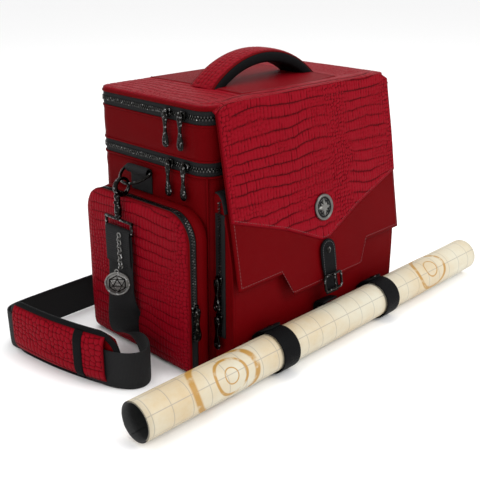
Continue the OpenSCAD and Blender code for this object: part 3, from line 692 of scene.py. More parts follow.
for side, word in SIDES:
    t = np.linspace(0, 1, 9)
    gusset_out = np.column_stack([0.2 + 13.4 * t, 0.4 - 1.3 * np.sin(pi * t)])
    gusset_in = np.column_stack([13.6 - 13.4 * t[::2], np.full(5, 2.1)])
    gusset = pocket_ring(word + "_pocket_gusset", side, np.vstack([gusset_out, gusset_in]), red_leather)
    fit(gusset, None, "red_leather", "lower_case", word + "_pocket")
    tape_low, tape_high = 13.9, 25.6
    tape = pocket_ring(word + "_pocket_tape", side,
        [(tape_low, 1.9), (19.4, 1.3), (20.1, 1.3), (tape_high, 1.9), (tape_high, 3.4), (tape_low, 3.4)],
        zip_tape)
    fit(tape, None, "zip_tape", "lower_case", word + "_pocket_zip")
    for tag, dist, inset in (("wall", 13.7, 1.3), ("face", 26.0, 1.5)):
        p = np.column_stack([np.full(len(arch), side * (half_w + dist)),
            pocket_mid + arch[:, 0] - arch_out[:, 0] * inset, arch[:, 1] - arch_out[:, 1] * inset])
        cord = tube("%s_pocket_%s_piping" % (word, tag), p, 1.35, closed=True, mat=red_leather)
        fit(cord, None, "red_leather", "lower_case")
    for half, shift in ((0, -1.0), (1, 1.0)):
        p = np.column_stack([np.full(len(arch), side * (half_w + 19.8 + shift)),
            pocket_mid + arch[:, 0] - arch_out[:, 0] * 1.1, arch[:, 1] - arch_out[:, 1] * 1.1])
        n = np.column_stack([np.zeros(len(arch)), arch_out])
        at, along, out = spaced(p, n, pitch, half * pitch / 2)
        keep = at[:, 2] > 42
        chain = blocks("%s_pocket_teeth_%d" % (word, half), at[keep], along[keep], out[keep],
            np.tile([1.0, 0, 0], (keep.sum(), 1)), (1.3, 1.4, 2.1), tooth_metal)
        fit(chain, None, "gunmetal", "lower_case")
    u, v = np.meshgrid(np.linspace(-1, 1, 170), np.linspace(-1, 1, 176), indexing="ij")
    y, z = rounded(u, v, pocket_half - 1.6, pocket_low + 1.6, pocket_high - 1.6, 32.4, 8.4)
    edge = np.minimum(1 - np.abs(u), 1 - np.abs(v))
    dome = 26.2 + 2.6 * (1 - (1 - np.clip(edge / 0.16, 0, 1)) ** 2) + 0.5 * drift(y, z, 60, 2)
    # Pebbles fill the front and lower edges of the panel; scutes fill the rest.
    patches = np.clip(drift(y, z, 52, 9) * 0.9 + 0.55 * (np.abs(u) - 0.62) / 0.38 + 0.25 * (-v - 0.35), 0, 1)
    press = scales(y + 300, z, 11.5, 4.8, patches, 11.0 + side)
    press = 0.5 + (press - 0.5) * np.clip(edge / 0.04, 0, 1)
    p = np.stack([side * (half_w + dome - 0.9 + 0.9 * press), pocket_mid + y, z], -1)
    face = grid(word + "_pocket_panel", p, relief=press, flip=side > 0)
    solid(face, 1.8).data.materials.append(embossed_leather)
    fit(face, None, "embossed_leather", "lower_case", word + "_pocket_face")

# ---------------------------------------------------------------------------
# Front pocket: a soft box of smooth leather behind the flap, lofted from its
# side outline, with zip tape round its gusset.
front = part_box("front_pocket")
front_half = front[1][0] / MM
outline = np.array([(0, 3), (12, 2.6), (24, 3.0), (28, 5), (29, 10), (29.4, 40), (29.6, 75), (29, 110),
    (26.5, 135), (22.3, 160), (18, 182), (14, 199),
    (11.5, 206), (7, 210.4), (0, 211)], float)
run = travelled(outline)
s = np.linspace(0, run[-1], 90)
outline = along_path(s, run, outline)
x = np.concatenate([[-front_half, -front_half + 0.6, -front_half + 2],
    np.linspace(-front_half + 5, front_half - 5, 61), [front_half - 2, front_half - 0.6, front_half]])
shrink = 2.6 - 2.6 * np.sqrt(np.clip(1 - (1 - np.clip((front_half - np.abs(x)) / 5, 0, 1)) ** 2, 0, 1))
centre = np.array([8.0, 105.0])
way = unit(centre - outline)
p = np.empty((len(x), len(outline), 3))
p[..., 0] = x[:, None]
sag = 0.45 * drift(x[:, None], outline[None, :, 1], 40, 8)
p[..., 1] = -half_d - np.maximum(0, outline[None, :, 0] + way[None, :, 0] * shrink[:, None]
    + sag * (outline[None, :, 0] > 20))
p[..., 2] = outline[None, :, 1] + way[None, :, 1] * shrink[:, None]
front_skin = grid("front_pocket_skin", p, caps=True, wrap_v=True, flip=True)
fit(front_skin, red_leather, "red_leather", "lower_case", "front_pocket")
tape_low, tape_near, tape_far = 42.0, 2.2, 16.8
over = outline[(outline[:, 0] >= tape_near) & (outline[:, 0] <= tape_far) & (outline[:, 1] > 150)][::-1]
over_x = np.linspace(-front_half - 1.4, front_half + 1.4, 90)
over_out = unit(np.column_stack([-np.gradient(over[:, 1]), np.gradient(over[:, 0])]))
layers = np.concatenate([np.full(len(over), 1.5), np.full(len(over), 0.4)])
loop = np.concatenate([over, over[::-1]])
loop_out = np.concatenate([over_out, over_out[::-1]])
p = np.empty((len(over_x), len(loop), 3))
p[..., 0] = over_x[:, None]
p[..., 1] = -half_d - (loop[:, 0] + loop_out[:, 0] * layers)[None, :]
p[..., 2] = (loop[:, 1] + loop_out[:, 1] * layers)[None, :]
front_tape = grid("front_pocket_tape_over", p, wrap_v=True, caps=True)
fit(front_tape, zip_tape, "zip_tape", "lower_case", "front_pocket_zip")
for side, word in SIDES:
    up_z = np.linspace(tape_low, over[-1, 1] - 1, 60)
    rising = np.argsort(over[:, 1])
    near_edge = np.full(60, tape_near)
    far_edge = np.interp(up_z, over[rising, 1], over[rising, 0], left=tape_far)
    depth_at = np.stack([near_edge, near_edge + 0.6, (near_edge + far_edge) / 2, far_edge - 0.6, far_edge], -1)
    thick_at = np.array([0.9, 1.4, 1.3, 1.4, 0.9])
    p = np.empty((60, 10, 3))
    p[..., 0] = side * (front_half + np.concatenate([thick_at, np.full(5, 0.2)]))[None, :]
    p[..., 1] = -half_d - np.concatenate([depth_at, depth_at[:, ::-1]], 1)
    p[..., 2] = up_z[:, None]
    gusset_tape = grid("front_pocket_tape_" + word, p, wrap_v=True, caps=True, flip=side < 0)
    fit(gusset_tape, zip_tape, "zip_tape", "lower_case")
for side, word in SIDES:
    rim = outline[(outline[:, 0] > 9) & (outline[:, 1] > 6)]
    path = np.column_stack([np.full(len(rim), side * (front_half - 0.4)), -half_d - rim[:, 0] + 1.2, rim[:, 1]])
    cord = tube("front_pocket_piping_" + word, path, 1.4, mat=red_leather)
    fit(cord, None, "red_leather", "lower_case")
    mid = np.column_stack([np.full(60, side * (front_half + 1.7)), np.full(60, -half_d - 9.5),
        np.linspace(44, 203, 60)])
    for half, shift in ((0, -1.0), (1, 1.0)):
        at, along, out = spaced(mid + np.array([0, shift, 0]), np.tile([float(side), 0, 0], (60, 1)), pitch,
            half * pitch / 2, closed=False)
        chain = blocks("front_pocket_teeth_%s_%d" % (word, half), at, along, out,
            np.tile([0.0, 1, 0], (len(at), 1)), (1.3, 1.2, 2.1), tooth_metal)
        fit(chain, None, "gunmetal", "lower_case")

# ---------------------------------------------------------------------------
# Lid: a padded embossed panel, a little domed, with its edge rolled over.
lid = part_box("lid_panel")


def lid_crown(x, y):
    """How far the lid domes: 1.6 mm in the middle, falling as a cosine to nothing at each edge."""
    return 1.6 * np.cos(x / half_w * pi / 2) * np.cos(y / half_d * pi / 2)


u, v = np.meshgrid(np.linspace(-1, 1, 271), np.linspace(-1, 1, 165), indexing="ij")
x, y = rounded(u, v, half_w - 0.2, -half_d + 0.2, half_d - 0.2, corner, corner)
edge = np.minimum(half_w - np.abs(u) * half_w, half_d - np.abs(v) * half_d)
roll = np.sqrt(np.clip(1 - (1 - np.clip(edge / 4.5, 0, 1)) ** 2, 0, 1))
saddle_half, saddle_front = 84.0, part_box("lid_saddle")[0][1] / MM
under = (np.abs(x) < saddle_half - 2) & (y > saddle_front + 6)
patches = np.clip(0.8 * drift(x, y, 55, 21) + 0.4 * (np.abs(x) / half_w - 0.75) * 4, 0, 1)
press = 0.5 + (scales(y, x, 11.0, 4.8, patches, 31.0) - 0.5) * np.clip((edge - 1) / 3, 0, 1) * np.where(under,
    0, 1)
lid_high = lid[1][2] / MM
z = lid_high - 4.8 + 4.8 * roll + lid_crown(x, y) - 0.8 + 0.8 * press
lid_skin = grid("lid_panel_skin", np.stack([x, y, z], -1), relief=press)
solid(lid_skin, 2.2).data.materials.append(embossed_leather)
fit(lid_skin, None, "embossed_leather", "lid", "lid_panel")
p = np.empty((len(plan), 6, 3))
for k, (off, height) in enumerate(((-0.3, lid_z), (0.0, lid_z + 2), (-0.5, lid_high - 2.4),
    (-4, lid_high - 2.6), (-4, lid_z + 0.6), (-3, lid_z))):
    p[:, k, :2], p[:, k, 2] = plan + plan_out * off, height
lid_edge = grid("lid_edge_band", p, wrap_u=True, wrap_v=True)
fit(lid_edge, red_leather, "red_leather", "lid")

# Saddle: the smooth panel under the handle, sewn over the embossed hide.
u, v = np.meshgrid(np.linspace(-1, 1, 81), np.linspace(0, 1, 81), indexing="ij")
x = u * saddle_half
front_line = saddle_front + 9 * (x / saddle_half) ** 2
y = front_line + v * (half_d - 2.5 - front_line)
edge = np.minimum((1 - np.abs(u)) * saddle_half, np.minimum(v, 1.02 - v) * 165)
z = lid_high - 0.2 + lid_crown(x, y) + 0.9 * np.sqrt(np.clip(edge / 3, 0,
    1)) - 1.6 * np.clip((y - (half_d - 6)) / 4, 0, 1)
saddle = grid("lid_saddle_skin", np.stack([x, y, z], -1))
solid(saddle, 1.4).data.materials.append(smooth_leather("saddle_leather", (0.115, 0.001, 0.0035),
    (0.16, 0.0018, 0.0055), 0.45, 520.0, 0.6))
fit(saddle, None, "red_leather", "lid", "lid_saddle")
for word, line in (("left", [(-saddle_half + 3.5, t) for t in np.linspace(saddle_front + 11, half_d - 6, 60)]),
                   ("right", [(saddle_half - 3.5, t) for t in np.linspace(saddle_front + 11, half_d - 6, 60)]),
                   ("front", [(t, saddle_front + 9 * (t / saddle_half) ** 2 + 3.5)
                   for t in np.linspace(-saddle_half + 5, saddle_half - 5, 60)])):
    line = np.array(line)
    path = np.column_stack([line, lid_high + 0.75 + lid_crown(line[:, 0], line[:, 1])])
    stitches("saddle_stitches_" + word, path, np.tile([0.0, 0, 1], (60, 1)), thread_red, "lid", "red_leather")

# ---------------------------------------------------------------------------
# Handle: an arch of black padding with an embossed leather top, red cord
# along both edges.
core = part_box("handle_core")
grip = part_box("handle_cover")
arch_half, rise = grip[1][0] / MM, (grip[1][2] - grip[0][2]) / MM
arc_r = (arch_half ** 2 + rise ** 2) / (2 * rise)
arc_z = grip[1][2] / MM - arc_r
reach = atan2(arch_half, grip[0][2] / MM - arc_z)
handle_mid = (core[0][1] + core[1][1]) / 2 / MM
handle_half = (core[1][1] - core[0][1]) / 2 / MM


def handle_point(a, across, depth):
    """A point of the arch: angle a from the top, distance across it, and depth below its outer radius."""
    r = arc_r - depth
    return np.stack(np.broadcast_arrays(r * np.sin(a), handle_mid + across, arc_z + r * np.cos(a)), -1)


a = np.linspace(-reach, reach, 90)[:, None]
swell = np.cos(a / reach * pi / 2) ** 0.5
q = around(28)[None, :]
sq, sr = squared(q, 0.3, 0.5)
thick = 6.6 + 0.5 * swell
wide = handle_half - 0.6 - 1.6 * swell
core_skin = grid("handle_padding", handle_point(a, wide * sq, 1.8 + thick - thick * sr), wrap_v=True, caps=True,
    flip=True)
fit(core_skin, black_leather, "black_leather", "lid", "handle_core")
a = np.linspace(-reach + 0.01, reach - 0.01, 150)[:, None]
w = np.linspace(-1, 1, 41)[None, :]
span = handle_half - 3.2 - 1.6 * np.cos(a / reach * pi / 2) ** 0.5
press = scales(a * arc_r + 0 * w, w * span + 0 * a, 5.2, 6.0, np.full((150, 41), 0.12),
    41.0) * np.clip((1 - np.abs(w)) / 0.12, 0, 1)
cover = grid("handle_top", handle_point(a, w * span, 1.0 + 1.8 * np.abs(w) ** 3 - 0.7 * press), relief=press,
    flip=True)
solid(cover, 1.0).data.materials.append(embossed_leather)
fit(cover, None, "embossed_leather", "lid", "handle_cover")
for side in (-1, 1):
    a = np.linspace(-reach + 0.01, reach - 0.01, 100)
    span = handle_half - 3.0 - 1.6 * np.cos(a / reach * pi / 2) ** 0.5
    cord = tube("handle_piping_" + ("front" if side < 0 else "rear"), handle_point(a, side * span, 2.6), 1.0,
        mat=red_leather)
    fit(cord, None, "red_leather", "lid")

# ---------------------------------------------------------------------------
# Flap: a long smooth leather flap hung from the lid's front edge, with an
# embossed overlay shaped like an envelope.
LEAN = radians(9.7)
FLAP_OUT = [0.0, -cos(LEAN), sin(LEAN)]
crease_y, crease_z = -half_d, lid_high + 0.5
flap_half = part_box("flap_panel")[1][0] / MM


def on_flap(x, v, d):
    """A point on the hanging flap: x across, v down from the crease, d out from its back."""
    x, v, d = np.broadcast_arrays(x, v, d)
    return np.stack([x, crease_y - d * cos(LEAN) - v * sin(LEAN), crease_z + d * sin(LEAN) - v * cos(LEAN)], -1)


def flap_edge(x):
    """How far down the flap reaches at x: the tongue in the middle, then a slant, then the shorter sides."""
    return np.interp(np.abs(x), [0, 62, 78, flap_half], [232, 232, 202, 202])


def overlay_edge(x):
    """How far down the embossed overlay reaches at x: a wide point."""
    return np.interp(np.abs(x), [0, 6, 66, flap_half], [181.5, 180.5, 153.5, 125])


def corner_droop(x):
    """How far the crease sinks towards the flap's two top corners: a square that starts 128 mm out."""
    return 9.0 * np.clip((np.abs(x) - 128) / 22, 0, 1) ** 2


def flap_wave(x, v):
    """Slow unevenness of the sewn flap, none at the crease."""
    return 0.7 * drift(x, v, 70, 51) * np.clip(v / 60, 0, 1) + 0.9 * np.sin(pi * v / 232)


cols = np.concatenate([np.linspace(-flap_half, -78, 28), np.linspace(-78, -62, 9)[1:],
    np.linspace(-62, 62, 45)[1:], np.linspace(62, 78, 9)[1:], np.linspace(78, flap_half, 28)[1:]])
t = np.linspace(0, 1, 90)[None, :]
x = cols[:, None]
top_edge = corner_droop(x)
v = top_edge + t * (flap_edge(x) - top_edge)
border = np.minimum(flap_half - np.abs(x), flap_edge(x) - v)
d = 3.4 + 0.0 * x + flap_wave(x, v) - 0.9 * (1 - np.clip(border / 2.5, 0, 1)) ** 2
flap_skin = grid("flap_skin", on_flap(x, v, d), flip=True)
solid(flap_skin, 2.6).data.materials.append(red_leather)
fit(flap_skin, None, "red_leather", "flap", "flap_panel")

n_across, n_down = 231, 139
x = np.linspace(-flap_half, flap_half, n_across)[:, None]
t = np.linspace(0, 1, n_down)[None, :]
top_edge = corner_droop(x)
v = top_edge + t * (overlay_edge(x) - top_edge)
border = np.minimum(flap_half - np.abs(x), (overlay_edge(x) - v) * 0.9)
band = np.clip(1 - np.abs(x - 38 - 0.05 * v) / 26, 0, 1) * 0.5 + np.clip((np.abs(x) - 128) / 20, 0, 1) * 0.5
patches = np.clip(band + 0.25 * drift(x, v, 30, 61), 0, 1) * np.ones_like(v)
press = scales(x + 0 * v, v + 0 * x, 12.5, 4.6, patches, 71.0)
hem_in = np.clip((border - 1.0) / 2.5, 0, 1)
press = press * hem_in + 0.55 * (1 - hem_in)
d = 4.0 + flap_wave(x, v) + 0.9 * press + 0.5 * np.clip(1 - np.abs(border - 2) / 2, 0,
    1) - 0.8 * (1 - np.clip(border / 1.5, 0, 1))
overlay = grid("flap_overlay_skin", on_flap(x, v, d), relief=press, flip=True)
solid(overlay, 1.0).data.materials.append(embossed_leather)
fit(overlay, None, "embossed_leather", "flap", "flap_overlay")

turned = np.array([(-flap_half + 4, 12), (-flap_half + 4, 198), (-80, 198), (-64.5, 228), (64.5, 228),
    (80, 198), (flap_half - 4, 198), (flap_half - 4, 12)], float)
run = travelled(turned)
s = np.arange(0, run[-1], 2.0)
hem = along_path(s, run, turned)
away = np.tile(FLAP_OUT, (len(hem), 1))
below = hem[:, 1] > overlay_edge(hem[:, 0])
path = on_flap(hem[:, 0], hem[:, 1], 3.5 + flap_wave(hem[:, 0], hem[:, 1]))
for word, part in (("left", below & (hem[:, 0] < 0)), ("right", below & (hem[:, 0] >= 0))):
    stitches("flap_hem_stitches_" + word, path[part], away[part], thread_red, "flap", "red_leather")
x = np.linspace(-flap_half + 5, flap_half - 5, 260)
stitches("overlay_stitches", on_flap(x, overlay_edge(x) - 4.0, 4.7 + flap_wave(x, overlay_edge(x))),
    np.tile(FLAP_OUT, (260, 1)),
    thread_red, "flap", "red_leather")

# Crease: the embossed hide runs on over the lid's front edge in one soft
# roll, so this strip follows the lid at the back and the flap at the front.
turn = np.linspace(0, 1, 47)[None, :]
x = np.linspace(-flap_half, flap_half, 231)[:, None]
droop = corner_droop(x)
bend_r = 11.0
start = np.array([crease_y + bend_r + 9, lid_high + 1.2])
finish = on_flap(0, 14.0, 4.9)[1:]
knee = np.array([crease_y - 5.2, lid_high + 1.4])
y = (1 - turn) ** 3 * start[0] + 3 * turn * (1 - turn) ** 2 * (knee[0] + 5) + 3 * turn ** 2 * (1
    - turn) * knee[0] + turn ** 3 * finish[0]
z = (1 - turn) ** 3 * (start[1] - 0.1 * droop) + 3 * turn * (1 - turn) ** 2 * (knee[1]
    - 0.5 * droop) + 3 * turn ** 2 * (1 - turn) * (knee[1] - 2.5 - droop) + turn ** 3 * finish[1]
border = np.minimum(flap_half - np.abs(x), 3.0)
press = 0.5 + (scales(x + 0 * turn, turn * 34 + 0 * x - 20, 12.5, 4.6,
    np.clip((np.abs(x) - 128) / 20, 0, 1) + 0 * turn, 71.0) - 0.5) * np.clip(border / 2.5, 0, 1)
rise = 0.7 * press * np.sin(pi * turn) ** 0.3
crease = grid("flap_crease_roll", np.stack(np.broadcast_arrays(x, y - rise * turn, z + rise * (1 - turn)), -1),
    relief=press, flip=True)
solid(crease, 1.4).data.materials.append(embossed_leather)
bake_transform(crease)

# ---------------------------------------------------------------------------
# Medallion: a cast metal boss with a raised rim and a plain eight-point
# compass star, riveted through the overlay.
r = np.concatenate([np.linspace(0.02, 12.2, 40), [12.6, 13.2, 14.0, 14.8, 15.5, 16, 16, 0.02]])
h = np.concatenate([np.full(40, 1.1), [1.5, 2.5, 2.7, 2.6, 2.2, 1.2, 0, 0]])
a = around(160)
rr, aa = np.meshgrid(r, a, indexing="ij")
eighth = np.floor(aa / (pi / 4) + 0.5)
off_ray = np.abs(aa - eighth * pi / 4) / (pi / 8)
reach_star = np.where(eighth % 2 == 0, 11.4, 8.2)
star = np.clip((1 - rr / reach_star) - 0.62 * off_ray * rr / reach_star, 0, 0.35) / 0.35
star = np.where(rr < 12.2, star, 0)
ring_line = np.clip(1 - np.abs(rr - 9.6) / 0.5, 0, 1) * (off_ray > 0.35) * (rr < 12)
hh = np.repeat(h[:, None], 160, 1) + 1.5 * star ** 0.7 + 0.5 * ring_line
# lift is 1 on the raised star and rim and 0 in the recess; it picks the painted highlight and painted shade
# below.
lift = np.where(rr < 12.3, np.maximum(star ** 0.4, 0.7 * ring_line), 0.8)
medal = grid("medallion_star", on_flap(rr * np.sin(aa), 141 - rr * np.cos(aa), 6.0 + hh), wrap_v=True,
    flip=True, relief=lift)
cast_metal, tree, skin = material("medallion_metal_painted_light")
raised = put(tree, "Attribute", attribute_name="relief").outputs["Fac"]
pits = noise(tree, coords(tree, "Object"), 900.0, Detail=5.0)
# Painted light: the recessed field is near-black as painted shade, and the raised star, ring line and rim are
# pale as a painted highlight.
feed(tree, skin, Base_Color=blended(tree, raised, (0.008, 0.008, 0.008, 1), (0.16, 0.155, 0.145, 1)),
    Roughness=sums(tree, "MULTIPLY_ADD", pits, 0.35, 0.18),
    Normal=put(tree, "Bump", {"Strength": 0.2, "Distance": 0.0002, "Height": pits}).outputs[0])
skin.inputs["Metallic"].default_value = 1.0
fit(medal, cast_metal, "gunmetal", "flap", "medallion")

# ---------------------------------------------------------------------------
# Closure: a black strap riveted to the flap's tongue, a roller frame with a
# prong, and the anchor strap on the pocket below it.


def flat_strap(name, half, length, thick, place, mat):
    """A strap with one round end: a rounded bar carried down its length, which narrows to the end."""
    t = np.concatenate([half * (1 - np.cos(np.linspace(0.02, pi / 2, 12))), np.linspace(half + 2, length, 14)])
    w = np.where(t < half, np.sqrt(np.clip(half ** 2 - (half - t) ** 2, 0, None)), half)[:, None]
    q = around(20)[None, :]
    cx, cz = squared(q, 0.35, 0.5)
    p = place(w * cx, t[:, None] + 0 * q, thick / 2 * (1 + cz) + 0 * w)
    thing = grid(name, p, wrap_v=True, caps=True, flip=True)
    thing.data.materials.append(mat)
    return thing


def on_tongue(x, t, d):
    """A point of the tab on the flap: it narrows to pass the buckle, and lifts a little at its end."""
    narrow = np.interp(t, [30, 42, 60], [1, 0.85, 0.85])
    return on_flap(x * narrow, 180 + t, 5.4 + d + 0.8 * np.clip((t - 52) / 12, 0, 1))


tab = flat_strap("closure_tab_skin", 13.5, 67, 2.4, on_tongue, black_leather)
fit(tab, None, "black_leather", "flap", "closure_tab")
loop_x = np.concatenate([np.full(30, -10.5), -10.5 * np.cos(np.linspace(0, pi, 24)), np.full(30, 10.5)])
loop_v = np.concatenate([np.linspace(222, 194, 30), 193.5 - 10.5 * np.sin(np.linspace(0, pi, 24)),
    np.linspace(194, 222, 30)])
stitches("closure_tab_stitches", on_flap(loop_x, loop_v, 7.75), np.tile(FLAP_OUT, (84, 1)), thread_black,
    "flap", "black_leather", 1.8, 1.2)


def stud(name, place, radius, height, mat, points=28):
    """A domed rivet head: an arc turned about its axis and closed at the back. place takes (right, up, out)."""
    e = np.linspace(0, pi / 2, 8)
    r = np.concatenate([[0.02], radius * np.sin(e)[1:], [radius, 0.02]])
    h = np.concatenate([[height], height * np.cos(e)[1:] * 0.9 + 0.1 * height, [-0.4, -0.4]])
    a = around(points)
    rr, aa = np.meshgrid(r, a, indexing="ij")
    thing = grid(name, place(rr * np.sin(aa), rr * np.cos(aa), np.repeat(h[:, None], points, 1)), wrap_v=True,
        flip=True)
    thing.data.materials.append(mat)
    return thing


rivet = stud("closure_rivet", lambda a, b, c: on_flap(a, 193.5 - b, 7.7 + c), 4.2, 1.7, gunmetal)
fit(rivet, None, "gunmetal", "flap", "tab_rivet")

corner_a = np.concatenate([np.linspace(0, pi / 2, 8) + k * pi / 2 for k in range(4)])
centres = np.repeat(np.array([(12.2, 6.2), (-12.2, 6.2), (-12.2, -6.2), (12.2, -6.2)]), 8, 0)
loop = centres + 3.1 * np.stack([np.cos(corner_a), np.sin(corner_a)], -1)
q = around(12)
out2 = np.stack([np.cos(corner_a), np.sin(corner_a)], -1)
p = on_flap(loop[:, None, 0] + 1.65 * out2[:, None, 0] * np.cos(q),
    233 - (loop[:, None, 1] + 1.65 * out2[:, None, 1] * np.cos(q)),
    10.2 + 1.55 * np.sin(q) + 0 * loop[:, None, 0])
buckle = grid("buckle_loop", p, wrap_u=True, wrap_v=True, flip=True)
fit(buckle, gunmetal, "gunmetal", "buckle_frame", "buckle_frame")
t = np.linspace(0, 1, 20)
prong = tube("buckle_tongue", on_flap(0 * t, 223 + 20 * t, 13.0 + 0.5 * np.sin(pi * t)), 1.15, sides=10,
    mat=gunmetal, taper=1.2 - 0.45 * t)
fit(prong, None, "gunmetal", "buckle_prong", "buckle_prong")

def ribbon(name, line, wide, through, run, half, thick, mat):
    """A flat band with rounded edges: a rounded bar carried along a route that has its own width direction."""
    q = around(22)
    cw, ct = squared(q, 0.3, 0.6)
    half = np.broadcast_to(half, len(line))[:, None, None]
    p = line[:, None] + half * cw[None, :, None] * wide[:, None] + (thick / 2 * ct)[None, :, None] * through[:,
        None]
    uv = np.stack(np.broadcast_arrays(run[:, None], (half[..., 0] * cw[None]) + thick * ct[None] * 0.5), -1)
    thing = grid(name, p, wrap_v=True, caps=True, uv=uv, flip=True)
    thing.data.materials.append(mat)
    return thing


curve = np.array([(-125.4, 29), (-125.4, 36), (-125.6, 42), (-128, 46.6), (-133, 48.6), (-138, 49.6),
    (-141.4, 50.2)])
t = np.linspace(0, 6, 40)
curve = np.stack([np.zeros(40)] + [np.interp(t, range(7), curve[:, k]) for k in range(2)], -1)
curve[1:-1] = (curve[:-2] + curve[1:-1] * 2 + curve[2:]) / 4
curve[1:-1] = (curve[:-2] + curve[1:-1] * 2 + curve[2:]) / 4
step = unit(np.gradient(curve, axis=0))
across = np.tile([1.0, 0, 0], (40, 1))
anchor_half = 13 * np.sqrt(np.clip(1 - np.clip((4 - t * 4) / 4.6, 0, 1) ** 2, 0, 1))
anchor = ribbon("closure_anchor_strap", curve, across, np.cross(step, across), t * 5, anchor_half, 2.4,
    black_leather)
fit(anchor, None, "black_leather", "lower_case", "closure_anchor")
rivet = stud("anchor_stud", lambda a, b, c: np.stack(np.broadcast_arrays(a, -126.4 - c, 38 + b), -1), 3.4, 1.4,
    gunmetal)
fit(rivet, None, "gunmetal", "lower_case", "anchor_rivet")

# ---------------------------------------------------------------------------
# Battle mat: a two-foot printed vinyl sheet rolled up about three times. It
# has a one-inch grid, plain ochre room outlines and a tea-stained tint.
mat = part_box("battle_mat")
mat_y, mat_z = (mat[0][1] + mat[1][1]) / 2 / MM, (mat[0][2] + mat[1][2]) / 2 / MM
mat_r = (mat[1][1] - mat[0][1]) / 2 / MM
mat_x0, mat_x1 = mat[0][0] / MM, mat[1][0] / MM
turns = 3.1
th = np.linspace(0, 2 * pi * turns, 300)
radius = mat_r - 0.25 - 0.75 * th / (2 * pi)
# The angle starts below at the back, so the free edge faces the bag.
ang = radians(-150) + th
x = np.linspace(mat_x0, mat_x1, 60)
th2, x2 = np.meshgrid(th, x, indexing="ij")
r2, a2 = np.meshgrid(radius, x, indexing="ij")[0], np.meshgrid(ang, x, indexing="ij")[0]
ripple = 0.25 * drift(th2 * 20, x2, 60, 81)
p = np.stack([x2, mat_y - (r2 + ripple) * np.cos(a2), mat_z + (r2 + ripple) * np.sin(a2)], -1)
arc = a2 * mat_r
mat_roll = grid("battle_mat_roll", p, uv=np.stack([x2, arc], -1), flip=True)
solid(mat_roll, 0.45)


def parchment():
    """Printed vinyl: tinted ground, grey grid every inch, ochre outlines whose ink breaks up."""
    m, tree, skin = material("printed_parchment")
    uv = coords(tree, "UV")
    split = put(tree, "SeparateXYZ", {0: uv})
    along, round_ = split.outputs[0], split.outputs[1]
    stain = noise(tree, uv, 9.0, Detail=6.0, Roughness=0.62)
    fleck = noise(tree, uv, 190.0, Detail=5.0)
    ground = blended(tree, put(tree, "MapRange", {0: stain, 1: 0.38, 2: 0.68}).outputs[0],
        (0.52, 0.49, 0.385, 1), (0.47, 0.345, 0.18, 1))
    ground = blended(tree, sums(tree, "MULTIPLY", fleck, 0.25), ground, (0.57, 0.55, 0.47, 1))

    def line(value, first, step, width):
        """1 on lines of a given width, a step apart."""
        cell = sums(tree, "FRACT", sums(tree, "DIVIDE", sums(tree, "SUBTRACT", value, first - 50 * step), step))
        off = sums(tree, "MULTIPLY", sums(tree, "SUBTRACT", 0.5,
            sums(tree, "ABSOLUTE", sums(tree, "SUBTRACT", cell, 0.5))), step)
        return put(tree, "MapRange", {0: off, 1: width * 0.5, 2: width, 3: 1.0, 4: 0.0}).outputs[0]

    across = line(along, -0.2785, 0.0254, 0.0007)
    lengthwise = line(round_, 0.6283 * mat_r * MM, 0.0254, 0.0007)
    ruled = sums(tree, "MULTIPLY", sums(tree, "MAXIMUM", across, lengthwise), 0.55)
    ground = blended(tree, ruled, ground, (0.20, 0.19, 0.18, 1))
    ink = None
    for cx, cr, ring in ((-0.203, 0.0125, 0.044), (-0.196, 0.0125, 0.0215), (-0.196, 0.0125, 0.009),
        (0.19, 0.018, 0.030), (0.19, 0.018, 0.012)):
        dx, dy = sums(tree, "SUBTRACT", along, cx), sums(tree, "SUBTRACT", round_, cr)
        far = sums(tree, "SQRT", sums(tree, "ADD", sums(tree, "MULTIPLY", dx, dx),
            sums(tree, "MULTIPLY", dy, dy)))
        hit = put(tree, "MapRange", {0: sums(tree, "ABSOLUTE", sums(tree, "SUBTRACT", far, ring)),
            1: 0.06 * ring, 2: 0.11 * ring, 3: 1.0, 4: 0.0}).outputs[0]
        ink = hit if ink is None else sums(tree, "MAXIMUM", ink, hit)
    broken = put(tree, "MapRange", {0: noise(tree, uv, 85.0, Detail=4.0), 1: 0.30, 2: 0.48}).outputs[0]
    ground = blended(tree, sums(tree, "MULTIPLY", sums(tree, "MULTIPLY", ink, broken), 0.95), ground,
        (0.36, 0.185, 0.022, 1))
    feed(tree, skin, Base_Color=ground,
        Roughness=sums(tree, "MULTIPLY_ADD", fleck, 0.2, 0.42))
    bump = put(tree, "Bump", {"Strength": 0.15, "Distance": 0.0003, "Height": fleck})
    feed(tree, skin, Normal=bump.outputs[0])
    return m


mat_roll.data.materials.append(parchment())
mat_back, tree, skin = material("mat_backing")
skin.inputs["Roughness"].default_value = 0.7
speck = noise(tree, coords(tree, "Object"), 500.0)
feed(tree, skin, Base_Color=blended(tree, speck, (0.006, 0.006, 0.006, 1), (0.03, 0.03, 0.03, 1)))
mat_roll.data.materials.append(mat_back)
mat_roll.modifiers["thickness"].material_offset = 1
mat_roll.modifiers["thickness"].material_offset_rim = 1
fit(mat_roll, None, "parchment", "battle_mat", "battle_mat")

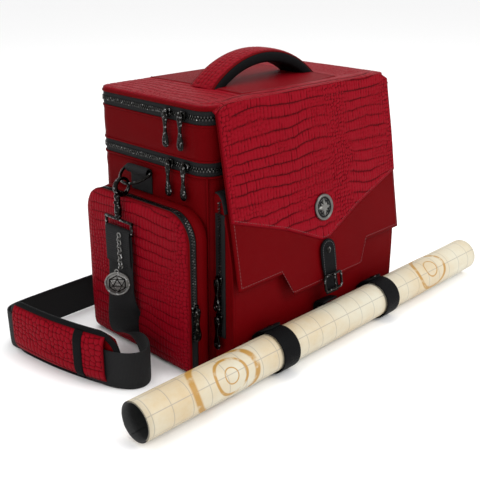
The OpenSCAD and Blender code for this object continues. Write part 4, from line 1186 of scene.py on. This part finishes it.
# ---------------------------------------------------------------------------
# Mat straps: two bands of black leather round the roll, each with a snap tab
# over the top.
straps_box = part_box("mat_straps")
strap_half = 13.5
band_in = 23.3
snap_a, snap_r = radians(112), 27.6
for x0, word in ((straps_box[0][0] / MM + strap_half, "left"), (straps_box[1][0] / MM - strap_half, "right")):
    a = around(72)[:, None]
    q = around(24)[None, :]
    cx, cr = squared(q, 0.25, 0.5)
    r = band_in + 0.95 + 0.85 * cr + 0.12 * np.sin(3 * a)
    p = np.stack([x0 + strap_half * cx + 0 * a, mat_y - r * np.cos(a), mat_z + r * np.sin(a)], -1)
    band = grid("mat_strap_" + word, p, wrap_u=True, wrap_v=True, flip=True)
    fit(band, black_leather, "black_leather", "lower_case")
    if word == "left":
        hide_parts("mat_straps")
    node = "mat_tab_" + word
    a = np.linspace(radians(154), radians(100), 24)[:, None]
    past = np.clip((a.max() - a) / (a.max() - a.min()) - 0.72, 0, 1)
    taper = np.sqrt(np.clip(1 - past ** 2 / 0.0785, 0.02, 1))
    r = band_in + 2.2 + 1.05 * (1 + cr) + 0 * a
    p = np.stack([x0 + 16 * cx * taper, mat_y - r * np.cos(a), mat_z + r * np.sin(a)], -1)
    tab = grid(node + "_skin", p, wrap_v=True, caps=True)
    fit(tab, black_leather, "black_leather", node, node)

    def on_tab(right, up, out):
        """A point on the tab's outer face, seen from the middle of its snap."""
        reach = snap_r + out
        return np.stack([x0 + right, mat_y - reach * cos(snap_a) + up * sin(snap_a),
            mat_z + reach * sin(snap_a) + up * cos(snap_a)], -1)

    snap = stud(node + "_snap", on_tab, 4.4, 1.5, gunmetal)
    fit(snap, None, "gunmetal", node)

# ---------------------------------------------------------------------------
# Shoulder strap: black ribbed webbing. It hangs from the left ring over the
# side pocket, turns on edge at the floor, carries the pad, and runs behind
# the bag to the right ring.
web_half, web_z = 22.5, 23.5
clip_x, ring_y = 197, 14.0
route = np.array([(-197, 14, 150.1), (-197, 14, 120), (-198, 14, 92), (-200, 12, 68), (-202, 6, 46),
    (-204, -6, 32), (-207, -22, 25), (-211, -40, web_z),
    (-217, -56, web_z), (-226, -68, web_z), (-238, -73, web_z), (-250, -69, web_z), (-259, -58, web_z),
    (-266, -42, web_z), (-273, -20, web_z + 3),
    (-280, 8, web_z + 6), (-286, 38, web_z + 8), (-290, 70, web_z + 6), (-292, 96, web_z + 3),
    (-291, 116, web_z), (-284, 129, web_z), (-268, 134, web_z),
    (-230, 136, web_z), (-150, 138, web_z), (0, 138, web_z), (130, 137, web_z), (178, 132, web_z),
    (204, 117, web_z), (214, 95, web_z), (213, 72, web_z),
    (210, 50, 25), (206, 32, 33), (203, 20, 48), (200, 15, 70), (198, 14, 94), (197, 14, 120),
    (197, 14, 150.1)], float)
lie = np.array([(0, 1, 0)] * 3 + [(0, 1, 0.1), (0, 1, 0.5), (0, 1, 1.1), (0, 0.5, 1)] + [(0, 0, 1)] * 23
    + [(0, -0.5, 1), (0, -1, 1.1), (0, -1, 0.5), (0, -1, 0.1)] + [(0, -1, 0)] * 3, float)


def flowing(points, per=8):
    """A Catmull-Rom curve through the points, which leaves each along the line between its neighbours."""
    e = np.vstack([2 * points[0] - points[1], points, 2 * points[-1] - points[-2]])
    t = np.linspace(0, 1, per, endpoint=False)[None, :, None]
    a, b, c, d = (e[k:len(e) - 3 + k][:, None] for k in range(4))
    q = 0.5 * (2 * b + (c - a) * t + (2 * a - 5 * b + 4 * c - d) * t ** 2 + (3 * b - a - 3 * c + d) * t ** 3)
    return np.vstack([q.reshape(-1, points.shape[1]), points[-1:]])


line = flowing(route)
for _ in range(12):
    line[1:-1] = (line[:-2] + 2 * line[1:-1] + line[2:]) / 4
wide = flowing(lie)
t = unit(np.gradient(line, axis=0))
wide = unit(wide - t * np.sum(wide * t, -1, keepdims=True))
for _ in range(80):
    wide[1:-1] = unit(wide[:-2] + wide[1:-1] + wide[2:])
wide = unit(wide - t * np.sum(wide * t, -1, keepdims=True))
through = np.cross(t, wide)
run = travelled(line)


webbing = cloth_material("black_webbing", (0.003, 0.003, 0.0035), (0.012, 0.012, 0.0125), 210.0, 0.8,
    by_uv=True)
place = np.minimum(np.arange(len(line)), len(line) - 1 - np.arange(len(line)))
narrowed = web_half * (1 - 0.3 * np.exp(-((place - 42) / 9.0) ** 2))
strap = ribbon("shoulder_webbing", line, wide, through, run, narrowed, 2.2, webbing)
fit(strap, None, "webbing", "lower_case", "shoulder_strap")
for side, word in SIDES:
    # The webbing's end goes round the ring's bar and is sewn back on itself.
    a = np.linspace(-1.2, pi, 16)
    fold = np.column_stack([side * (clip_x - 3.0 * np.cos(a)), np.full(16, ring_y), 152 + 3.0 * np.sin(a)])
    down = np.column_stack([np.full(8, side * 200.3), np.full(8, ring_y), np.linspace(149, 112, 8)])
    bend = np.vstack([fold, down])
    step = unit(np.gradient(bend, axis=0))
    across = np.tile([0.0, 1, 0], (len(bend), 1))
    turned_end = ribbon("webbing_fold_" + word, bend, across, np.cross(step, across),
        np.arange(len(bend)) * 3.0, web_half - 0.3, 1.9, webbing)
    fit(turned_end, None, "webbing", "lower_case")

# ---------------------------------------------------------------------------
# Shoulder pad: a long cushion with black bound edges, an embossed panel sewn
# over the webbing, and a narrow leather band across it.
first, last = 12 * 8, 19 * 8
pad_line, pad_t = line[first:last + 1].copy(), t[first:last + 1]
pad_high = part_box("shoulder_pad")[1][2] / MM
pad_line[:, 2] = pad_high / 2
flat_t = unit(pad_t * np.array([1, 1, 0]))
toward = np.cross(flat_t, np.tile([0.0, 0, 1], (len(flat_t), 1)))
pad_run = travelled(pad_line)


def on_pad(s, height, depth):
    """A point of the pad: s along it, height from its middle, depth towards the bag."""
    s, height, depth = np.broadcast_arrays(s, height, depth)
    at = along_path(s, pad_run, pad_line)
    way = unit(along_path(s, pad_run, toward))
    out = at + way * depth[..., None]
    out[..., 2] += height
    return out


pad_len, pad_half = pad_run[-1], pad_high / 2
u, v = np.meshgrid(np.linspace(-1, 1, 90), np.linspace(-1, 1, 44), indexing="ij")
s, height = rounded(v * 0 + u, v, pad_len / 2 - 1, -pad_half + 1.0, pad_half - 1.0, 26, 26)
s = s + pad_len / 2
rim = np.minimum((1 - np.abs(u)) * 3.2, 1 - np.abs(v))
puff = np.sqrt(np.clip(1 - (1 - np.clip(rim / 0.55, 0, 1)) ** 2, 0, 1))
quilt = 1 - 0.10 * (np.abs(np.sin(s / 22)) < 0.10)
front_side = on_pad(s, height, 3.2 - 1.4 * puff)
back_side = on_pad(s, height, 3.2 + 9.6 * puff * quilt)
n = u.size
nu, nv = u.shape
i, j = np.arange(nu - 1)[:, None], np.arange(nv - 1)[None, :]
front_faces = np.stack([i * nv + j, (i + 1) * nv + j, (i + 1) * nv + j + 1, i * nv + j + 1], -1).reshape(-1, 4)
loop = np.concatenate([np.arange(nu - 1) * nv, (nu - 1) * nv + np.arange(nv - 1),
    (nu * nv - 1) - np.arange(nu - 1) * nv, (nv - 1) - np.arange(nv - 1)])
wall = np.stack([loop, np.roll(loop, -1), np.roll(loop, -1) + n, loop + n], -1)
pad = piece("shoulder_pad_cushion", np.vstack([front_side.reshape(-1, 3), back_side.reshape(-1, 3)]),
    front_faces[:, ::-1].tolist() + (front_faces + n).tolist() + wall.tolist())
fit(pad, red_leather, "webbing", "lower_case", "shoulder_pad")
edge_s, edge_h = arch_path(pad_half - 3.2, 3, pad_len - 3, 26, 26)[0].T[::-1]
path = on_pad(edge_s, edge_h, 3.4)
rim_dir = unit(np.roll(path, -1, 0) - np.roll(path, 1, 0))
binding_q = around(14)
side_dir = unit(along_path(edge_s, pad_run, toward))
flatwise = unit(np.cross(rim_dir, side_dir))
p = path[:, None] + 3.7 * np.cos(binding_q)[None, :, None] * flatwise[:, None] + 3.2 * np.sin(binding_q)[None,
    :, None] * side_dir[:, None]
p[..., 2] = np.maximum(p[..., 2], 0.2)
binding = grid("shoulder_pad_binding", p, wrap_u=True, wrap_v=True)
fit(binding, black_leather, "black_leather", "lower_case")

u, v = np.meshgrid(np.linspace(0, 1, 150), np.linspace(-1, 1, 71), indexing="ij")
cover_from, cover_half = 17.0, pad_half - 5.0
s = cover_from + u * (pad_len - 2 * cover_from)
height = v * cover_half
edge = np.minimum(np.minimum(u, 1 - u) * (pad_len - 2 * cover_from), (1 - np.abs(v)) * cover_half)
patches = np.clip(0.75 - 0.9 * (v < -0.35) + 0.2 * drift(s, height, 30, 92), 0, 1)
press = 0.5 + (scales(s, height, 11.0, 6.4, patches, 95.0) - 0.5) * np.clip((edge - 1) / 2, 0, 1)
panel = grid("shoulder_pad_panel", on_pad(s, height, 2.2 - 5.6 * (1 - np.abs(v) ** 5) - 0.8 * press),
    relief=press)
solid(panel, 1.2).data.materials.append(embossed_leather)
fit(panel, None, "embossed_leather", "lower_case", "pad_cover")
strip_mid = cover_from + (pad_len - 2 * cover_from) * 0.24
h = np.linspace(-cover_half - 1, cover_half + 1, 60)
q = around(18)
cw, ct = squared(q, 0.3, 0.6)
lifted = -0.2 - 5.4 * (1 - np.clip(np.abs(h) / cover_half, 0, 1) ** 5)
p = on_pad(strip_mid + 6 * cw[None, :] + 0 * h[:, None], h[:, None] + 0 * cw[None, :],
    lifted[:, None] - 1.0 * ct[None, :])
band = grid("shoulder_pad_band", p, wrap_v=True, caps=True, flip=True)
fit(band, black_leather, "black_leather", "lower_case", "pad_band")
for word, s_at in (("front", cover_from + 3.5), ("rear", pad_len - cover_from - 3.5)):
    h = np.linspace(-cover_half * 0.8, cover_half * 0.8, 50)
    s = np.full(50, s_at)
    outward = -unit(along_path(s, pad_run, toward))
    stitches("shoulder_pad_stitches_" + word, on_pad(s, h, 1.3 - 5.6 * (1 - np.abs(h / cover_half) ** 5)),
        outward, thread_red, "lower_case", "red_leather", 2.2, 1.4)

# ---------------------------------------------------------------------------
# Rings and board: polished dark metal and stiff black leatherboard. The
# D-rings, strap rings, charm chain and bottom board are the carried-over nodes.
pewter = metal("pewter", (0.24, 0.235, 0.225), 0.38, 0.2)
for node, mat in (("left_ring", gunmetal), ("right_ring", gunmetal), ("strap_rings", gunmetal),
    ("charm_chain", pewter),
                  ("base_board", black_leather)):
    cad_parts[node].data.materials.clear()
    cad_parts[node].data.materials.append(mat)

# ---------------------------------------------------------------------------
# Linings: thin black cloth over foam, quilted in squares, inside both decks
# and under the lid.
QUILT = 31.0
lining = cloth_material("lining_cloth", (0.006, 0.006, 0.007), (0.03, 0.03, 0.032), 240.0, 0.6)


def quilted(p):
    """How far each point of a bed stands up between its seams: a product of two sines, to a low power."""
    return np.abs(np.sin(pi * p[..., 0] / QUILT) * np.sin(pi * p[..., 1] / QUILT)) ** 0.4


for node, rider in (("lower_lining", "lower_case"), ("upper_lining", "upper_case")):
    foot, head = (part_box(node)[k][2] / MM for k in (0, 1))
    rise = np.linspace(0, 1, 40)
    wall_z = head - (head - foot - 4) * rise
    quilt = 1.1 * np.abs(np.sin(pi * (head - wall_z) / 26.0)) ** 0.5
    quilt[:2] = 0
    puff = quilt[None, :] * np.abs(np.sin(pi * plan_run[:, None] / QUILT)) ** 0.35
    sides = np.empty((len(plan), 40, 3))
    sides[..., :2] = plan[:, None] - plan_out[:, None] * (4.2 + puff)[..., None]
    sides[..., 2] = wall_z[None, :]
    share = np.linspace(1, 0.004, 26)[1:]
    inner_plan = plan - plan_out * 4.6
    bed = np.empty((len(plan), 25, 3))
    bed[..., :2] = inner_plan[:, None] * share[None, :, None]
    cushion = quilted(bed)
    bed[..., 2] = foot + 1.6 + 1.1 * cushion
    skin_in = np.concatenate([sides, bed], 1)
    skin_out = np.empty((len(plan), 4, 3))
    skin_out[..., :2] = plan[:, None] - plan_out[:, None] * 2.6
    skin_out[..., 2] = np.array([foot + 0.3, foot + 3, head - 1, head - 0.2])[None, :]
    under = inner_plan[:, None] * np.array([0.004, 0.6])[None, :, None]
    floor_out = np.concatenate([under, np.full((len(plan), 2, 1), foot + 0.3)], -1)
    pad_in = grid(node + "_quilted", np.concatenate([skin_in, floor_out, skin_out], 1), wrap_u=True,
        wrap_v=True, flip=True)
    fit(pad_in, lining, "lining", rider, node)
share = np.linspace(1, 0.004, 30)
inner_plan = plan - plan_out * 4.0
bed = np.empty((len(plan), 60, 3))
bed[:, :30, :2] = inner_plan[:, None] * share[None, :, None]
bed[:, 30:, :2] = bed[:, :30, :2][:, ::-1]
cushion = quilted(bed[:, :30])
fall = np.clip((1 - share) / 0.03, 0, 1)[None, :]
bed[:, :30, 2] = lid_z + 1.3 - fall * (0.2 + 0.7 * cushion)
bed[:, 30:, 2] = lid_z + 1.6
lid_pad = grid("lid_lining_quilted", bed, wrap_u=True)
fit(lid_pad, lining, "lining", "lid")

# ---------------------------------------------------------------------------
# Ring anchors: a short length of webbing rolled round each ring's bar, its
# tail sewn flat to the wall below.
anchors_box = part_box("ring_anchors")
bar_x, bar_z, roll = anchors_box[1][0] / MM - 5.0, anchors_box[1][2] / MM - 5.0, 4.15
turn = np.linspace(0, 1.72 * pi, 50)
for side, word in SIDES:
    route = np.concatenate([np.column_stack([np.full(20, roll), np.linspace(-26, -0.6, 20)]),
        np.stack([roll * np.cos(turn), roll * np.sin(turn)], -1)])
    line = np.column_stack([side * (bar_x - route[:, 0]), np.full(70, ring_y), bar_z + route[:, 1]])
    ahead = unit(np.gradient(line, axis=0))
    wide = np.tile([0.0, 1.0, 0.0], (70, 1))
    run = travelled(line)
    loop_band = ribbon(word + "_anchor_webbing", line, wide, np.cross(ahead, wide), run, 19.0, 1.7, webbing)
    fit(loop_band, None, "webbing", "lower_case")
    if side < 0:
        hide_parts("ring_anchors")

# ---------------------------------------------------------------------------
# Clips: a cast hook round each ring, and a barrel with a thumb stud that turns
# under it.
for side, word in SIDES:
    hook_x, hook_z = side * 189.5, 202.5
    a = around(48)
    q = around(12)
    fat = 1 + 0.28 * np.cos(a + 0.6)
    rr = 9.5 + (2.5 * fat)[:, None] * np.cos(q)[None, :] * 0.95
    p = np.stack([hook_x + rr * np.cos(a)[:, None] * side, ring_y + (2.4 * fat)[:, None] * np.sin(q)[None, :],
        hook_z + rr * np.sin(a)[:, None]], -1)
    hook = grid(word + "_clip_hook", p, wrap_u=True, wrap_v=True, flip=side > 0)
    hook.data.materials.append(gunmetal)
    z = np.array([167.9, 168, 169.2, 170.4, 171, 172, 173, 179, 185, 190, 192, 194, 195.5, 196.4])
    r = np.array([0.02, 3.9, 4.2, 3.9, 3.2, 3.9, 4.4, 4.1, 3.4, 3.3, 4.0, 3.8, 2.2, 0.02])
    a = around(28)[None, :]
    barrel = grid(word + "_clip_barrel", np.stack([side * clip_x + r[:, None] * np.cos(a),
        ring_y + r[:, None] * np.sin(a), z[:, None] + 0 * a], -1), wrap_v=True)
    barrel.data.materials.append(gunmetal)

    def on_barrel(right, up, out):
        """A point on the barrel's outer side, seen from the middle of its thumb stud."""
        return np.stack([side * (200.2 + out), ring_y + right, 186 + up], -1)

    thumb = stud(word + "_clip_thumb", on_barrel, 2.2, 2.0, gunmetal)
    for part in (hook, barrel, thumb):
        fit(part, None, "gunmetal", word + "_clip")
    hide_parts(word + "_clip")

# ---------------------------------------------------------------------------
# Charm: a cast pewter ring with the outline of a twenty-sided die inside it,
# on a fine chain.
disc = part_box("charm_disc")
charm_mid = [(disc[0][k] + disc[1][k]) / 2 / MM for k in range(3)]
charm_z = disc[0][2] / MM + 15
face_way = np.array([-0.7071, -0.7071, 0])
right_way = np.array([0.7071, -0.7071, 0])
up_way = np.array([0.0, 0, 1])
charm_at = np.array([charm_mid[0] - 6.0, charm_mid[1], charm_z])
parts = []
a = around(60)
parts.append(("charm_rim", charm_at + 13.6 * (np.cos(a)[:, None] * right_way + np.sin(a)[:, None] * up_way),
    1.3, True))
hexa = [charm_at + 10.4 * (np.cos(k) * right_way + np.sin(k) * up_way)
    for k in np.linspace(pi / 2, 2.5 * pi, 7)]
tri = [charm_at + 5.8 * (np.cos(k) * right_way + np.sin(k) * up_way) for k in np.linspace(pi / 2, 2.5 * pi, 4)]
for k in range(6):
    parts.append(("charm_side_%d" % k, np.linspace(hexa[k], hexa[k + 1], 6), 0.8, False))
for k in range(3):
    parts.append(("charm_face_%d" % k, np.linspace(tri[k], tri[k + 1], 6), 0.75, False))
    for m in (-1, 0, 1):
        parts.append(("charm_rib_%d_%d" % (k, m), np.linspace(tri[k], hexa[(2 * k + m) % 6], 6), 0.6, False))
plate = stud("charm_plate", lambda e, f, g: charm_at + e[..., None] * right_way + f[..., None] * up_way
    + (g - 0.9)[..., None] * face_way, 13.8, 1.3, pewter, 60)
fit(plate, None, "pewter", "charm")
parts.append(("charm_bail", charm_at + np.array([0, 0, 15.6])
    + 2.0 * (np.cos(a)[:, None] * right_way + np.sin(a)[:, None] * up_way), 0.8, True))
for name, path, radius, closed in parts:
    step = unit(np.roll(path, -1, 0) - np.roll(path, 1, 0)) if closed else unit(np.gradient(path, axis=0))
    side_way = np.cross(step, face_way)
    q = around(10)
    p = path[:, None] + radius * (np.cos(q)[None, :, None] * side_way[:, None]
        + np.sin(q)[None, :, None] * face_way)
    bit = grid(name, p, wrap_u=closed, wrap_v=True, caps=not closed)
    bit.data.materials.append(pewter if closed else gunmetal)
    fit(bit, None, "pewter" if closed else "gunmetal", "charm")
    if name == "charm_rim":
        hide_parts("charm_disc")

# ---------------------------------------------------------------------------
# Zip sliders and pulls: cast sliders with a bridge, and long bow-tie pulls.


def cast(name, t, w, h, place, mat):
    """A solid whose cross-section, a rounded bar of half width w and half height h, changes along t."""
    q = around(20)[None, :]
    cw, ch = squared(q, 0.5, 0.7)
    thing = grid(name, place(w[:, None] * cw, t[:, None] + 0 * q, h[:, None] * ch), wrap_v=True, caps=True)
    thing.data.materials.append(mat)
    return thing


def zip_pair(tag, slider_body, pull_body, origin, right, up, out):
    """A slider on the chain and the pull that hangs from it. right, up and out are its own directions."""
    right, up, out, origin = (np.asarray(e, float) for e in (right, up, out, origin))

    def at(a, b, c):
        a, b, c = np.broadcast_arrays(a, b, c)
        return origin + a[..., None] * right + b[..., None] * up + c[..., None] * out

    t = np.array([-5.0, -4.8, -4.2, -2, 0, 2, 4.2, 4.8, 5.0])
    body_piece = cast(tag + "_slider_body", t, np.array([1.5, 3.2, 3.9, 4.2, 4.6, 5.2, 5.4, 4.2, 2.0]),
        np.array([0.6, 1.1, 1.35, 1.4, 1.4, 1.4, 1.35, 1.1, 0.6]),
        lambda a, b, c: at(a, b, 1.75 + c), gunmetal)
    arch_a = np.linspace(0, pi, 20)
    wire = around(8)[None, :]
    bridge = grid(tag + "_bridge", at(np.zeros((20, 8)) + 1.1 * np.cos(wire),
        3.6 * np.cos(arch_a)[:, None] * (1 + 0.22 * np.sin(wire)),
        2.8 + (4.0 * np.sin(arch_a)[:, None]) * (1 + 0.18 * np.sin(wire))), wrap_v=True, caps=True)
    bridge.data.materials.append(gunmetal)
    t = np.array([2.6, 2.4, 1.6, 0, -3, -6, -10, -14, -17, -20, -24, -28, -31, -34, -36, -37, -37.4])
    w = np.array([0.6, 2.2, 3.4, 4.1, 4.4, 4.1, 3.1, 2.3, 2.2, 2.6, 3.8, 4.8, 5.3, 5.0, 3.9, 2.3, 0.5])
    h = np.array([0.4, 0.9, 1.15, 1.2, 1.1, 1.0, 1.0, 1.1, 1.15, 1.1, 1.0, 1.0, 1.0, 1.0, 0.95, 0.8, 0.4])
    pull = cast(tag + "_pull_body", t, w, h, lambda a, b, c: at(a, b, 5.6 + c), gunmetal)
    a = around(24)
    q = around(8)
    boss = []
    for k, (mid, size) in enumerate(((-31.5, 2.5), (-3.2, 2.0))):
        rr = size + 0.55 * np.cos(q)[None, :]
        ring = grid("%s_pull_ring_%d" % (tag, k),
            at(rr * np.cos(a)[:, None], mid + rr * np.sin(a)[:, None],
            6.6 + 0.5 * np.sin(q)[None, :] + 0 * a[:, None]), wrap_u=True, wrap_v=True)
        ring.data.materials.append(gunmetal)
        boss.append(ring)
    for part in (body_piece, bridge):
        fit(part, None, "gunmetal", slider_body)
    for part in [pull] + boss:
        fit(part, None, "gunmetal", pull_body)
    if slider_body != "lower_case":
        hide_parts(slider_body)
        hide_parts(pull_body)


left_out, up3 = (-1, 0, 0), (0, 0, 1)
for deck, place, y, z in (("top", "rear", -36, 289.75), ("top", "front", -60, 289.75),
    ("middle", "rear", -38, 234.75), ("middle", "front", -63, 234.75)):
    zip_pair(deck + "_" + place, "%s_slider_%s" % (deck, place), "%s_pull_%s" % (deck, place), (-half_w, y, z),
        (0, -1, 0), up3, left_out)
for side, word in SIDES:
    zip_pair(word, word + "_slider", word + "_pull", (side * 179.9, -92.5, 82), (1, 0, 0), up3, (0, -1, 0))
zip_pair("front", "front_slider", "front_pull", (-151.6, -104.5, 112), (0, -1, 0), up3, left_out)
# The front pocket's zip has a second slider below the first, and one at its
# other end.
zip_pair("front_low", "lower_case", "lower_case", (-151.6, -104.5, 66), (0, -1, 0), up3, left_out)
zip_pair("front_far", "lower_case", "lower_case", (151.6, -104.5, 98), (0, 1, 0), up3, (1, 0, 0))
